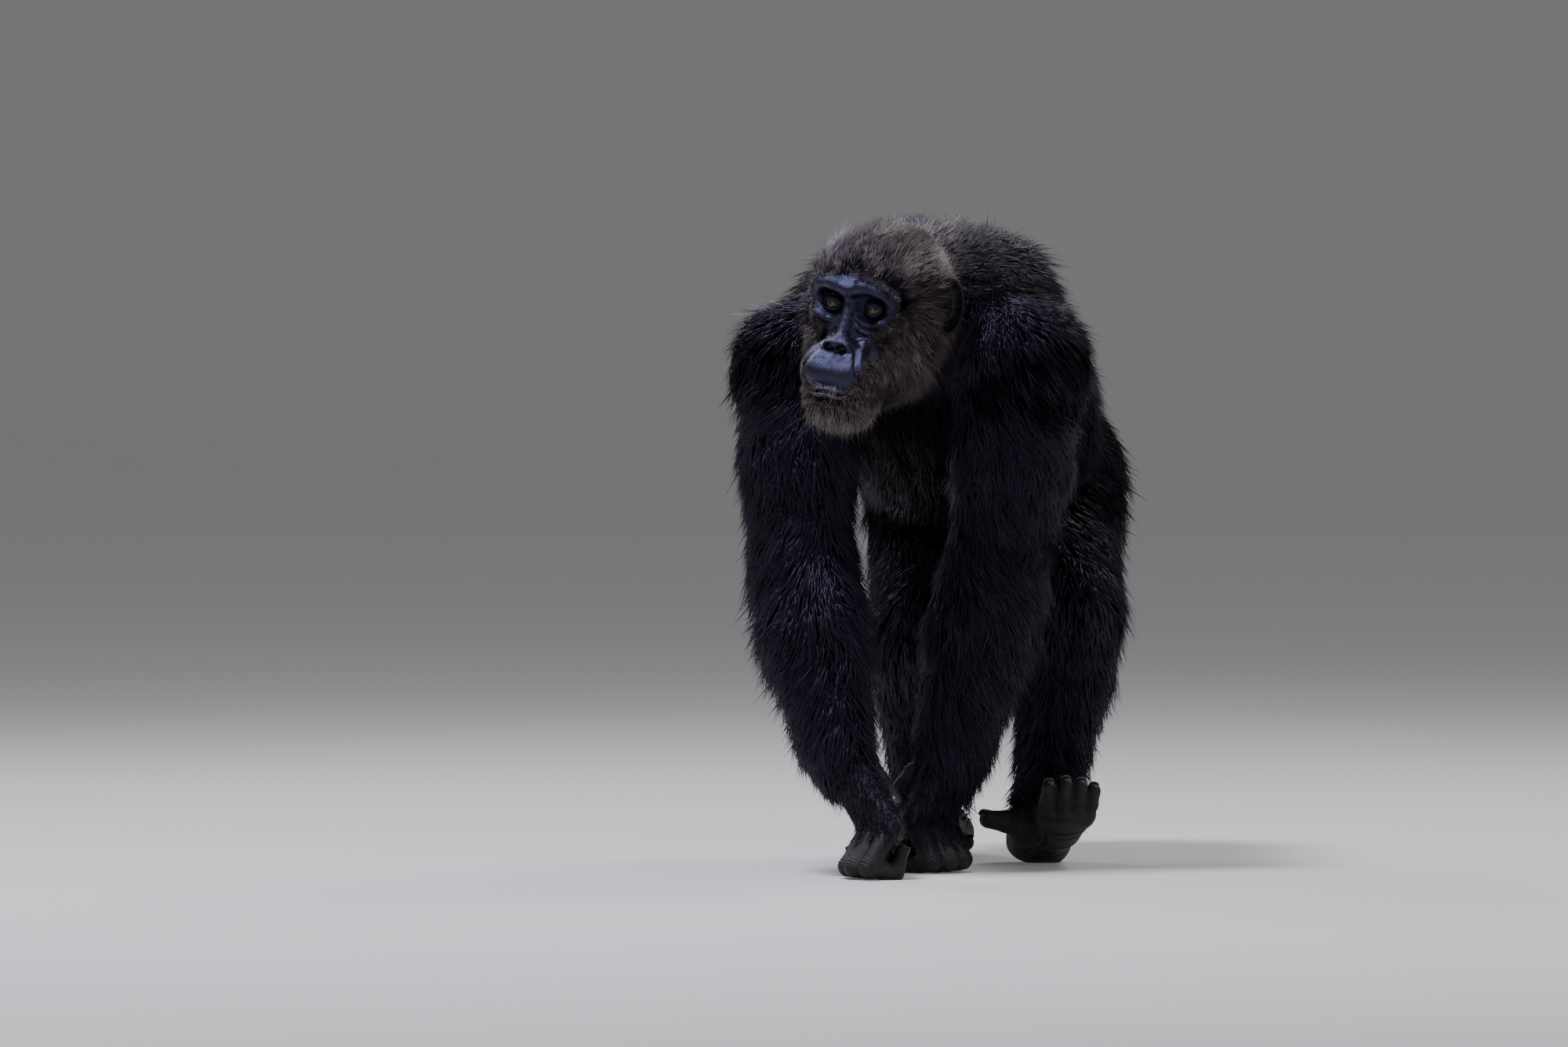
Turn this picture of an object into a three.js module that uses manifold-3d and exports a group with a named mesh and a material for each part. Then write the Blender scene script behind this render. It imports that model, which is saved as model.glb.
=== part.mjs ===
// An adult male chimpanzee, life size, knuckle-walking with its head turned a little to its right.
// Sizes are millimetres. +Z is up, the animal faces -Y and its left side is +X.
// Each part is a closed solid that fills the coat's inner half and carries locks of its outer half.
import * as THREE from "three";
import { mergeVertices } from "three/addons/utils/BufferGeometryUtils.js";
import Module from "manifold-3d";

const wasm = await Module();
wasm.setup();
const { Manifold } = wasm;

const V = (x, y, z) => new THREE.Vector3(x, y, z);
const rad = THREE.MathUtils.degToRad;

// Driving sizes
const GAP = 0.35; // between parts that touch
const CORE_SHARE = 0.5; // share of the coat's depth that a part's solid core fills, under its locks
const BOX_CENTRE = V(-3, -28, 0); // middle of the whole animal's box, seen from above, in the sizes below

// Joints of the limbs, at the middle of each joint
const SHOULDER = { left: V(152, -178, 640), right: V(-152, -182, 640) };
const ELBOW = { left: V(100, -118, 392), right: V(-130, -225, 382) };
const WRIST = { left: V(49, -150, 156), right: V(-62, -312, 156) };
const KNUCKLES = { left: V(22, -166, 66), right: V(-2, -336, 66) }; // middle of the row
const HIP = { left: V(78, 250, 478), right: V(-58, 250, 478) };
const CROTCH = 31; // across from the midline, where the thighs meet
const KNEE = { left: V(150, 65, 320), right: V(-48, 85, 285) };
const ANKLE = { left: V(117, 88, 96), right: V(-80, 240, 90) };

// Head: the point midway between the eyes, and how the head is turned
const EYES_MID = V(-25, -385, 718);
const HEAD_TURN = 15; // to the animal's right, degrees
const HEAD_NOD = 13; // face down
const HEAD_TILT = 10; // left ear down, about the line that the picture looks along
const VIEW_AZIMUTH = 14;
const EYE_RADIUS = 12;
const EYE_SPREAD = 29; // from the midline to an eye's centre
const EYE_DEPTH = -6; // an eye's centre behind the point midway between the eyes

// Fields: each is negative inside and near enough a distance in millimetres.
const blend = (a, b, width) => {
  const h = Math.max(width - Math.abs(a - b), 0) / width;
  return Math.min(a, b) - h * h * width * 0.25;
};
const carve = (a, b, width) => -blend(-a, b, width);

function ball(centre, radii, coat = 0) {
  const grow = coat * CORE_SHARE;
  const { x: cx, y: cy, z: cz } = centre;
  const { x: rx, y: ry, z: rz } = radii;
  return (p) => {
    const x = (p.x - cx) / rx;
    const y = (p.y - cy) / ry;
    const z = (p.z - cz) / rz;
    const near = Math.hypot(x, y, z);
    const slope = Math.hypot(x / rx, y / ry, z / rz);
    return (slope > 1e-9 ? (near * (near - 1)) / slope : -Math.min(rx, ry, rz)) - grow;
  };
}

function bar(from, to, fromRadius, toRadius, fromCoat = 0, toCoat = fromCoat) {
  const along = to.clone().sub(from);
  const square = along.lengthSq();
  const start = fromRadius + fromCoat * CORE_SHARE;
  const end = toRadius + toCoat * CORE_SHARE;
  return (p) => {
    const dx = p.x - from.x;
    const dy = p.y - from.y;
    const dz = p.z - from.z;
    const t = THREE.MathUtils.clamp((dx * along.x + dy * along.y + dz * along.z) / square, 0, 1);
    return Math.hypot(dx - t * along.x, dy - t * along.y, dz - t * along.z) - start - t * (end - start);
  };
}

const blended = (width, fields) => (p) => fields.reduce((sum, f) => blend(sum, f(p), width), 1e3);
const between = (a, b, t) => a.clone().lerp(b, t);

// Evenly spaced grid lines, or lines whose spacing changes at the stated places.
function lines(...stretches) {
  const made = [stretches[0][0]];
  for (const [from, to, step] of stretches) {
    const count = Math.max(1, Math.round((to - from) / step));
    for (let i = 1; i <= count; i++) made.push(from + ((to - from) * i) / count);
  }
  return made;
}

// Corners, edges and faces of one grid cell
const CORNERS = [0, 1, 2, 3, 4, 5, 6, 7].map((c) => [c & 1, (c >> 1) & 1, (c >> 2) & 1]);
const EDGES = [0, 1, 2].flatMap((axis) =>
  CORNERS.flatMap((c, n) => (c[axis] === 0 ? [{ a: n, b: n + (1 << axis), axis }] : [])),
);
const edgeAt = (axis, corner) => EDGES.findIndex((e) => e.axis === axis && e.a === corner);
const FACES = [0, 1, 2].flatMap((axis) =>
  [0, 1].map((side) =>
    EDGES.flatMap((e, n) => (CORNERS[e.a][axis] === side && CORNERS[e.b][axis] === side ? [n] : [])),
  ),
);

// The crossed edges of a cell in groups, one for each sheet of surface that passes through it.
function sheetsOf(inside) {
  const group = EDGES.map((e, n) => (inside[e.a] !== inside[e.b] ? n : -1));
  const join = (m, n) => {
    const [from, to] = [group[m], group[n]];
    for (let i = 0; i < 12; i++) if (group[i] === from) group[i] = to;
  };
  for (const face of FACES) {
    const crossed = face.filter((n) => group[n] >= 0);
    if (crossed.length === 2) join(crossed[0], crossed[1]);
    if (crossed.length < 4) continue;
    for (const m of crossed)
      for (const n of crossed) {
        const shared = [EDGES[m].a, EDGES[m].b].find((c) => c === EDGES[n].a || c === EDGES[n].b);
        if (m !== n && shared !== undefined && inside[shared]) join(m, n);
      }
  }
  return group;
}

// The surface where a field is zero, as a closed mesh. The grid runs past the surface on every side.
function skinOf(field, frame, xs, ys, zs) {
  const [nx, ny, nz] = [xs.length, ys.length, zs.length];
  const at = (i, j, k) => (k * ny + j) * nx + i;
  const values = new Float64Array(nx * ny * nz);
  const p = V(0, 0, 0);
  for (let k = 0; k < nz; k++)
    for (let j = 0; j < ny; j++)
      for (let i = 0; i < nx; i++) {
        const rim = !i || !j || !k || i === nx - 1 || j === ny - 1 || k === nz - 1;
        const value = field(p.set(xs[i], ys[j], zs[k]).applyMatrix4(frame));
        values[at(i, j, k)] = rim ? Math.max(value, 1) : value;
      }
  const points = [];
  const sheetPoint = new Map();
  for (let k = 0; k < nz - 1; k++)
    for (let j = 0; j < ny - 1; j++)
      for (let i = 0; i < nx - 1; i++) {
        const value = CORNERS.map((c) => values[at(i + c[0], j + c[1], k + c[2])]);
        const inside = value.map((v) => v < 0);
        if (inside.every((v) => v === inside[0])) continue;
        const group = sheetsOf(inside);
        for (const sheet of new Set(group.filter((g) => g >= 0))) {
          const sum = V(0, 0, 0);
          let crossings = 0;
          EDGES.forEach((e, n) => {
            if (group[n] !== sheet) return;
            const t = value[e.a] / (value[e.a] - value[e.b]);
            const [a, b] = [CORNERS[e.a], CORNERS[e.b]];
            const mix = (line, m, axis) => line[m + a[axis]] + t * (line[m + b[axis]] - line[m + a[axis]]);
            sum.add(V(mix(xs, i, 0), mix(ys, j, 1), mix(zs, k, 2)));
            crossings++;
            sheetPoint.set(at(i, j, k) * 12 + n, points.length);
          });
          points.push(sum.divideScalar(crossings).applyMatrix4(frame));
        }
      }
  settle(points, field);
  const triangles = [];
  const quad = (i, j, k, axis) => {
    const start = values[at(i, j, k)] < 0;
    const end = values[at(i + (axis === 0), j + (axis === 1), k + (axis === 2))] < 0;
    if (start === end) return;
    const [m, n] = [(axis + 1) % 3, (axis + 2) % 3];
    const q = [[1, 1], [0, 1], [0, 0], [1, 0]].map(([dm, dn]) => {
      const cell = [i, j, k];
      cell[m] -= dm;
      cell[n] -= dn;
      return sheetPoint.get(at(...cell) * 12 + edgeAt(axis, (dm << m) | (dn << n)));
    });
    if (end !== frame.determinant() < 0) q.reverse();
    const [A, B, C, D] = q.map((c) => points[c]);
    if (A.distanceToSquared(C) < B.distanceToSquared(D)) triangles.push(q[0], q[1], q[2], q[0], q[2], q[3]);
    else triangles.push(q[1], q[2], q[3], q[1], q[3], q[0]);
  };
  for (let k = 0; k < nz - 1; k++)
    for (let j = 0; j < ny - 1; j++)
      for (let i = 0; i < nx - 1; i++) {
        if (j && k) quad(i, j, k, 0);
        if (i && k) quad(i, j, k, 1);
        if (i && j) quad(i, j, k, 2);
      }
  const geometry = new THREE.BufferGeometry().setFromPoints(points);
  geometry.setIndex(triangles);
  return geometry;
}

// The same surface seen from inside: a ball with its poles on the y axis, pushed out along its rays.
// rows are angles from pole to pole, columns are angles round the y axis, from straight ahead and up.
function skinAround(field, centre, rows, columns) {
  const made = new THREE.SphereGeometry(1, columns.length - 1, rows.length - 1);
  for (const name of ["normal"]) made.deleteAttribute(name);
  const { position, uv } = made.attributes;
  const p = V(0, 0, 0);
  for (let i = 0; i < position.count; i++) {
    const row = rad(rows[Math.round((1 - uv.getY(i)) * (rows.length - 1))]);
    const pole = Math.sin(row) < 1e-6;
    const column = pole ? 0 : rad(columns[Math.round((1 - uv.getX(i)) * (columns.length - 1))]);
    const ray = V(Math.sin(row) * Math.cos(column), Math.cos(row), Math.sin(row) * Math.sin(column));
    let [near, far] = [0, 0];
    for (far = 240; far > 4; far -= 3) if (field(p.copy(centre).addScaledVector(ray, far)) < 0) break;
    near = far + 3;
    for (let round = 0; round < 12; round++) {
      const middle = (near + far) / 2;
      if (field(p.copy(centre).addScaledVector(ray, middle)) < 0) far = middle;
      else near = middle;
    }
    p.copy(centre).addScaledVector(ray, (near + far) / 2);
    position.setXYZ(i, p.x, p.y, p.z);
  }
  return made;
}

function slopeOf(field, p, step = 1) {
  const d = (axis) => {
    const q = p.clone();
    q[axis] += step;
    const ahead = field(q);
    q[axis] -= 2 * step;
    return (ahead - field(q)) / (2 * step);
  };
  return V(d("x"), d("y"), d("z"));
}

// Moves points onto the surface of a field.
function settle(points, field) {
  for (const p of points)
    for (let round = 0; round < 3; round++) {
      const slope = slopeOf(field, p);
      const square = slope.lengthSq();
      if (square > 0.05) p.addScaledVector(slope, THREE.MathUtils.clamp(-field(p) / square, -4, 4));
    }
}

function solidOf(geometry) {
  const bare = geometry.clone();
  for (const name of ["normal", "uv"]) bare.deleteAttribute(name);
  const merged = mergeVertices(bare, 1e-3);
  return new Manifold(
    new wasm.Mesh({
      numProp: 3,
      vertProperties: new Float32Array(merged.attributes.position.array),
      triVerts: new Uint32Array(merged.index.array),
    }),
  );
}

function geometryOf(solid) {
  const mesh = solid.getMesh();
  const count = mesh.numProp;
  const position = new Float32Array((mesh.vertProperties.length / count) * 3);
  for (let i = 0; i < position.length / 3; i++)
    position.set(mesh.vertProperties.subarray(i * count, i * count + 3), i * 3);
  return new THREE.BufferGeometry()
    .setAttribute("position", new THREE.BufferAttribute(position, 3))
    .setIndex(new THREE.BufferAttribute(mesh.triVerts, 1));
}

// The same mesh with each point moved outwards.
function grown(geometry, by) {
  const bare = geometry.clone();
  for (const name of ["normal", "uv"]) bare.deleteAttribute(name);
  const made = mergeVertices(bare, 1e-3);
  made.computeVertexNormals();
  const { position, normal } = made.attributes;
  for (let i = 0; i < position.count; i++)
    position.setXYZ(
      i,
      position.getX(i) + by * normal.getX(i),
      position.getY(i) + by * normal.getY(i),
      position.getZ(i) + by * normal.getZ(i),
    );
  return made;
}

const largest = (solid) => solid.decompose().reduce((best, s) => (s.volume() > best.volume() ? s : best));
const axesFrame = (origin, x, y, z) => new THREE.Matrix4().makeBasis(x, y, z).setPosition(origin);

// A grid that lies along a limb and reaches past both of its ends.
function limbSkin(field, from, to, reach, alongStep, acrossStep) {
  const along = to.clone().sub(from);
  const length = along.length();
  const z = along.normalize();
  const x = V(1, 0, 0).addScaledVector(z, -z.x).normalize();
  const y = z.clone().cross(x);
  const across = lines([-reach, reach, acrossStep]);
  const upwards = lines([-reach, length + reach, alongStep]);
  return skinOf(field, axesFrame(from, x, y, z), across, across, upwards);
}

// A digit: a tube through its joints with round ends. radii has one value for each joint.
function digit(joints, radii, sides, rings) {
  const curve = new THREE.CatmullRomCurve3(joints, false, "centripetal");
  const length = curve.getLength();
  const sphere = new THREE.SphereGeometry(1, sides, rings);
  for (const name of ["normal", "uv"]) sphere.deleteAttribute(name);
  const made = mergeVertices(sphere, 1e-4);
  const frames = curve.computeFrenetFrames(200, false);
  const { position } = made.attributes;
  const p = V(0, 0, 0);
  for (let i = 0; i < position.count; i++) {
    p.fromBufferAttribute(position, i);
    const ring = Math.acos(THREE.MathUtils.clamp(p.y, -1, 1)) / Math.PI;
    const angle = Math.atan2(p.z, p.x);
    const u = THREE.MathUtils.clamp(ring * 1.04 - 0.02, 0, 1);
    const n = Math.round(u * 200);
    const place = u * (radii.length - 1);
    const low = Math.min(Math.floor(place), radii.length - 2);
    const radius = THREE.MathUtils.lerp(radii[low], radii[low + 1], place - low);
    const fromEnd = Math.min(ring, 1 - ring) * length * 1.04;
    const round = fromEnd < radius ? Math.sqrt(Math.max(0, 1 - (1 - fromEnd / radius) ** 2)) : 1;
    const centre = curve.getPointAt(u);
    centre.addScaledVector(frames.normals[n], radius * round * Math.cos(angle));
    centre.addScaledVector(frames.binormals[n], radius * round * Math.sin(angle));
    position.setXYZ(i, centre.x, centre.y, centre.z);
  }
  return made;
}

// Locks of the long coat. A lock is a flat, tapered tongue: its root is sunk in the core, it follows the
// lie of the hair, and its tip stands at the coat's full depth.
const LOCK = {
  along: [0, 0.52, 1], // share of its length at each section and at its tip
  height: [-0.9, 0.5, 1], // share of the depth between core and tip
  width: [0.8, 1],
  thickness: [1, 0.9],
  flatness: 0.17, // thickness over width
  clear: 5, // from any other part
};
const random = (() => {
  let state = 20261;
  return () => {
    state = (state * 1664525 + 1013904223) % 4294967296;
    return state / 4294967296;
  };
})();
const around = (middle, spread) => middle * (1 + spread * (2 * random() - 1));

// Moves a point to a height over a field's surface and returns the way out there.
function liftTo(field, q, height) {
  let slope = V(0, 0, 1);
  for (let round = 0; round < 3; round++) {
    slope = slopeOf(field, q);
    q.addScaledVector(slope, (height - field(q)) / Math.max(slope.lengthSq(), 0.2));
  }
  return slope.normalize();
}

function lock(field, root, lie, { length, width, depth }) {
  const spine = LOCK.along.map((share, n) => {
    const q = root.clone().addScaledVector(lie, share * length);
    return { q, out: liftTo(field, q, LOCK.height[n] * depth) };
  });
  const points = [];
  LOCK.width.forEach((share, n) => {
    const { q, out } = spine[n];
    const side = lie.clone().cross(out).normalize();
    const half = (share * width) / 2;
    const thick = (LOCK.thickness[n] * width * LOCK.flatness) / 2;
    for (const across of [half, 0, -half]) {
      const corner = q.clone().addScaledVector(side, across);
      const height = LOCK.height[n] * depth;
      liftTo(field, corner, across ? height - thick / 2 : height + thick);
      points.push(corner);
    }
  });
  points.push(spine[LOCK.along.length - 1].q);
  const last = LOCK.width.length - 1;
  const triangles = [0, 2, 1];
  for (let n = 0; n < last; n++)
    for (let i = 0; i < 3; i++) {
      const [a, b] = [n * 3 + i, n * 3 + ((i + 1) % 3)];
      triangles.push(a, b, b + 3, a, b + 3, a + 3);
    }
  for (let i = 0; i < 3; i++) triangles.push(last * 3 + i, last * 3 + ((i + 1) % 3), last * 3 + 3);
  const made = new THREE.BufferGeometry().setFromPoints(points);
  made.setIndex(triangles);
  const solid = solidOf(made);
  if (solid.volume() > 0) return { solid, spine };
  made.setIndex(triangles.reverse());
  return { solid: solidOf(made), spine };
}

// Locks in rows along an axis. lieAt gives the way the hair lies, from a place and the way out there.
function locksAlong(field, others, from, to, { rows, each, lieAt, size, facing = () => true }) {
  const axis = to.clone().sub(from).normalize();
  const across = V(1, 0, 0).addScaledVector(axis, -axis.x).normalize();
  const upright = axis.clone().cross(across);
  const solids = [];
  rows.forEach((t, row) => {
    for (let i = 0; i < each; i++) {
      const angle = ((i + (row % 2) / 2 + 0.5 * (random() - 0.5)) / each) * 2 * Math.PI;
      const ray = across.clone().multiplyScalar(Math.cos(angle)).addScaledVector(upright, Math.sin(angle));
      const p = from.clone().lerp(to, t + 0.03 * (random() - 0.5));
      const given = size(ray, t);
      const picked = {
        length: around(given.length, 0.15),
        width: around(given.width, 0.15),
        depth: around(given.depth, 0.15),
      };
      let far = 0;
      while (field(p) < 0 && far < 260) {
        p.addScaledVector(ray, 2);
        far += 2;
      }
      const out = slopeOf(field, p).normalize();
      if (!facing(p, out)) continue;
      const lie = lieAt(p, out);
      lie.addScaledVector(out, -lie.dot(out));
      if (lie.length() < 0.25) continue;
      const { solid, spine } = lock(field, p, lie.normalize(), picked);
      const free = spine.slice(1).every(({ q }) => q.z > 8 && others.every((f) => f(q) > LOCK.clear));
      if (free && others.every((f) => f(p) > 0)) solids.push(solid);
    }
  });
  return solids;
}

const SIDES = ["left", "right"];
const outward = (side) => (side === "left" ? 1 : -1);

// Trunk: narrow between the arms, wide at the belly, with the shoulder girdle and the haunches on it
const GIRDLE = { half: 60, y: -72, z: 706, radius: 88, coat: 28 };
const HAUNCH_MID = 15; // the hips swing to the animal's left
function trunkField() {
  const girdleEnd = V(GIRDLE.half, GIRDLE.y, GIRDLE.z);
  const fields = [
    bar(V(-GIRDLE.half, GIRDLE.y, GIRDLE.z), girdleEnd, GIRDLE.radius, GIRDLE.radius, GIRDLE.coat),
    ball(V(0, -112, 645), V(96, 104, 122), 14),
    ball(V(0, -5, 622), V(141, 140, 148), 22),
    ball(V(4, 108, 575), V(158, 150, 134), 22),
    ball(V(HAUNCH_MID, 235, 530), V(122, 112, 110), 20),
  ];
  for (const side of SIDES) {
    const out = outward(side);
    fields.push(bar(V(out * 78, -112, 668), SHOULDER[side], 70, 61, 22));
    fields.push(ball(V(HAUNCH_MID + out * 52, 285, 482), V(68, 78, 84), 18));
    fields.push(bar(HIP[side], between(HIP[side], KNEE[side], 0.25), 80, 76, 20));
  }
  return blended(50, fields);
}

const trunk = trunkField();

// Neck: from between the shoulders to the base of the skull
const NECK = { from: V(0, -140, 722), to: V(-8, -262, 706), radius: 88, endRadius: 58, coat: 16 };
const neckField = () => bar(NECK.from, NECK.to, NECK.radius, NECK.endRadius, NECK.coat);

// Limbs: radii under the coat, and the coat's depth
const ARM = { top: 55, middle: 53, elbow: 45, belly: 49, wrist: 31, coat: 24, longCoat: 34, wristCoat: 18 };
const LEG = { top: 79, knee: 54, calf: 47, ankle: 31, coat: 22, shinCoat: 23, ankleCoat: 18 };
const upperArmField = (side) => {
  const middle = between(SHOULDER[side], ELBOW[side], 0.5);
  return blended(24, [
    bar(SHOULDER[side], middle, ARM.top, ARM.middle, ARM.coat),
    bar(middle, ELBOW[side], ARM.middle, ARM.elbow, ARM.coat, ARM.longCoat),
  ]);
};
const forearmField = (side) => {
  const belly = between(ELBOW[side], WRIST[side], 0.32);
  return blended(20, [
    bar(ELBOW[side], belly, ARM.elbow, ARM.belly, ARM.longCoat),
    bar(belly, WRIST[side], ARM.belly, ARM.wrist, ARM.longCoat, ARM.wristCoat),
  ]);
};
const thighField = (side) => bar(HIP[side], KNEE[side], LEG.top, LEG.knee, LEG.coat);
const shinField = (side) => {
  const calf = between(KNEE[side], ANKLE[side], 0.3).add(V(0, 12, 0));
  return blended(22, [
    bar(KNEE[side], calf, LEG.knee - 4, LEG.calf, LEG.shinCoat),
    bar(calf, ANKLE[side], LEG.calf, LEG.ankle, LEG.shinCoat, LEG.ankleCoat),
  ]);
};

// Depth from core to tip: the outer half of the coat, and more where a fringe hangs
const outer = (coat, fringe = 0) => coat * (1 - CORE_SHARE) + fringe;
const DOWN = V(0, 0, -1);

function armLocks(side) {
  const out = V(outward(side), 0, 0);
  const away = (ray) => Math.max(0, ray.dot(out) * 0.8 + ray.y * 0.6);
  const upper = locksAlong(upperArmField(side), [trunk], SHOULDER[side], ELBOW[side], {
    rows: [0.28, 0.56],
    each: 5,
    lieAt: () => V(outward(side) * 0.1, 0.15, -1),
    size: (ray) => ({ length: 92, width: 72, depth: outer(ARM.coat, 4 * away(ray)) }),
  });
  const lower = locksAlong(forearmField(side), [trunk], ELBOW[side], WRIST[side], {
    rows: [0.02, 0.32, 0.6],
    each: 5,
    lieAt: (p, n) => V(0, 0.1, -1).addScaledVector(out, 0.35 * Math.abs(n.y)),
    size: (ray, t) => ({
      length: 92 - 16 * t,
      width: 74 - 22 * t,
      depth: outer(THREE.MathUtils.lerp(ARM.longCoat, ARM.wristCoat, t), 14 * away(ray)),
    }),
  });
  return [...upper, ...lower];
}

function legLocks(side) {
  const thigh = locksAlong(thighField(side), [trunk], HIP[side], KNEE[side], {
    rows: [0.55],
    each: 6,
    lieAt: () => V(0, 0.2, -1),
    size: () => ({ length: 88, width: 66, depth: outer(LEG.coat, 2) }),
    facing: (p) => p.x * outward(side) > CROTCH * outward(side) + 8,
  });
  const shin = locksAlong(shinField(side), [trunk], KNEE[side], ANKLE[side], {
    rows: [0.12, 0.5],
    each: 5,
    lieAt: () => V(0, 0.25, -1),
    size: (ray, t) => ({
      length: 84 - 10 * t,
      width: 62 - 14 * t,
      depth: outer(LEG.shinCoat, 4 * Math.max(0, ray.y)),
    }),
  });
  return [...thigh, ...shin];
}

// On the back the locks lie backwards, on the flanks they hang, and on the shoulders they fall outwards.
const SPINE = [V(0, -95, 660), V(HAUNCH_MID, 290, 520)];
function trunkLocks() {
  const others = SIDES.flatMap((side) => [upperArmField(side), thighField(side)]).concat(neckField());
  const body = locksAlong(trunk, others, SPINE[0], SPINE[1], {
    rows: [0.02, 0.25, 0.49, 0.73],
    each: 8,
    lieAt: (p, n) => V(0.2 * n.x, 1, -0.35 - 0.9 * Math.abs(n.x)),
    size: (ray) => ({ length: 128, width: 98, depth: outer(24, ray.z > 0.2 ? 3 : 0) }),
    facing: (p, n) => n.z > -0.35,
  });
  const shoulders = SIDES.flatMap((side) =>
    locksAlong(trunk, others, V(outward(side) * 60, -112, 668), SHOULDER[side], {
      rows: [0.3, 0.95],
      each: 6,
      lieAt: (p, n) => V(outward(side) * 0.7, 0.35, -1),
      size: () => ({ length: 78, width: 58, depth: outer(22, 3) }),
      facing: (p, n) => n.z > -0.3 || n.x * outward(side) > 0.4,
    }),
  );
  return [...body, ...shoulders];
}

function neckLocks() {
  const others = [trunk, headWorldField];
  return locksAlong(neckField(), others, NECK.from, NECK.to, {
    rows: [0.45, 0.8],
    each: 7,
    lieAt: (p, n) => V(0.4 * n.x, 1, -0.4),
    size: () => ({ length: 56, width: 46, depth: 12 }),
    facing: (p, n) => n.z > -0.2,
  });
}

// Hand on its knuckles: palm turned inwards, fingers folded under it, thumb hanging in front
const FINGER = {
  spacing: 21,
  forward: 36,
  back: 38,
  tipUp: 24,
  bend: 12,
  radii: [12.5, 12.5, 11.5, 10.5, 8.5],
};
const FINGER_REACH = [-3, 3, 2, -6]; // how far forward each knuckle stands, from index to little finger
const HAND_TURN = { left: 62, right: -50 }; // degrees about the upright, back of the hand outwards
const THUMB = {
  left: [V(22, -158, 138), V(2, -168, 128), V(-20, -172, 104)],
  right: [V(-32, -322, 140), V(-4, -334, 126), V(18, -340, 98)],
};
function hand(side) {
  const turn = rad(HAND_TURN[side]);
  const forward = V(Math.sin(turn), -Math.cos(turn), 0);
  const inner = V(-outward(side) * Math.cos(turn), -outward(side) * Math.sin(turn), 0);
  const fingers = FINGER_REACH.map((reach, i) => {
    const knuckle = KNUCKLES[side].clone().addScaledVector(inner, (1.5 - i) * FINGER.spacing);
    knuckle.addScaledVector(forward, reach * 0.5);
    const middle = knuckle.clone().addScaledVector(forward, FINGER.forward + reach).setZ(FINGER.bend + 4);
    const end = middle.clone().addScaledVector(forward, -FINGER.back).setZ(FINGER.bend - 3);
    const halfway = between(middle, end, 0.5).setZ(FINGER.bend - 3);
    const tip = end.clone().addScaledVector(forward, -9).setZ(FINGER.bend + FINGER.tipUp);
    return [knuckle, middle, halfway, end, tip];
  });
  const bones = fingers.map(([knuckle], i) => {
    const carpal = WRIST[side].clone().addScaledVector(inner, (1.5 - i) * 9);
    return bar(carpal, knuckle, 21, 15, 4, 1);
  });
  const palm = blended(14, bones);
  const parts = [solidOf(limbSkin(palm, WRIST[side], KNUCKLES[side], 62, 25, 21))];
  for (const joints of fingers) parts.push(solidOf(digit(joints, FINGER.radii, 6, 7)));
  parts.push(solidOf(digit(THUMB[side], [15, 11, 8.5], 6, 5)));
  return parts;
}

// Foot: heel, instep and four toes, and a big toe that stands off like a thumb. The left heel has landed.
const FOOT_TURN = { left: 22, right: -12 }; // toes outwards, degrees
const FOOT_PITCH = { left: 22, right: 0 }; // toes up
const SOLE = -88; // height of the flat sole from the ankle
const TOES = [
  { across: 22, root: 112, length: 52 },
  { across: 5, root: 118, length: 56 },
  { across: -12, root: 115, length: 52 },
  { across: -28, root: 104, length: 46 },
];
const TOE_CURL = { left: 20, right: -3 }; // rise of a toe's tip
function foot(side) {
  const turn = rad(FOOT_TURN[side]);
  const pitch = rad(FOOT_PITCH[side]);
  const flat = V(Math.sin(turn), -Math.cos(turn), 0);
  const inner = V(-outward(side) * Math.cos(turn), -outward(side) * Math.sin(turn), 0);
  const ahead = flat.clone().multiplyScalar(Math.cos(pitch)).add(V(0, 0, Math.sin(pitch)));
  const up = flat.clone().multiplyScalar(-Math.sin(pitch)).add(V(0, 0, Math.cos(pitch)));
  const at = (x, y, z) =>
    ANKLE[side].clone().addScaledVector(ahead, x).addScaledVector(inner, y).addScaledVector(up, z);
  const toeRoot = ({ across, root }) =>
    bar(at(30, across * 0.5, SOLE + 24), at(root, across, SOLE + 15), 19, 14);
  const body = blended(18, [
    bar(at(0, 0, -8), at(-38, 0, SOLE + 31), 30, 29, 6, 2),
    bar(at(-38, 0, SOLE + 29), at(20, -6, SOLE + 26), 28, 24, 1, 0),
    bar(at(-30, 28, SOLE + 27), at(40, 42, SOLE + 23), 25, 21),
    bar(at(4, 2, -26), at(78, 6, SOLE + 28), 31, 20, 5, 2),
    ...TOES.map(toeRoot),
    bar(at(25, 16, SOLE + 26), at(48, 40, SOLE + 20), 19, 17),
  ]);
  const grid = axesFrame(ANKLE[side], ahead, inner, up);
  const xs = lines([-90, 150, 25]);
  const ys = lines([-65, 80, 21]);
  const zs = lines([-112, 60, 22]);
  const parts = [solidOf(skinOf(body, grid, xs, ys, zs))];
  for (const { across, root, length } of TOES) {
    const tipUp = TOE_CURL[side];
    const joints = [
      at(root - 8, across, SOLE + 14),
      at(root + length * 0.5, across * 1.12, SOLE + 15 + tipUp * 0.3),
      at(root + length, across * 1.2, SOLE + 11 + tipUp),
    ];
    parts.push(solidOf(digit(joints, [12.5, 10.5, 9], 6, 4)));
  }
  const bigToe = [at(40, 38, SOLE + 20), at(60, 66, SOLE + 22), at(75, 92, SOLE + 20)];
  parts.push(solidOf(digit(bigToe, [17, 14, 11.5], 7, 5)));
  return { parts, up };
}

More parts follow.
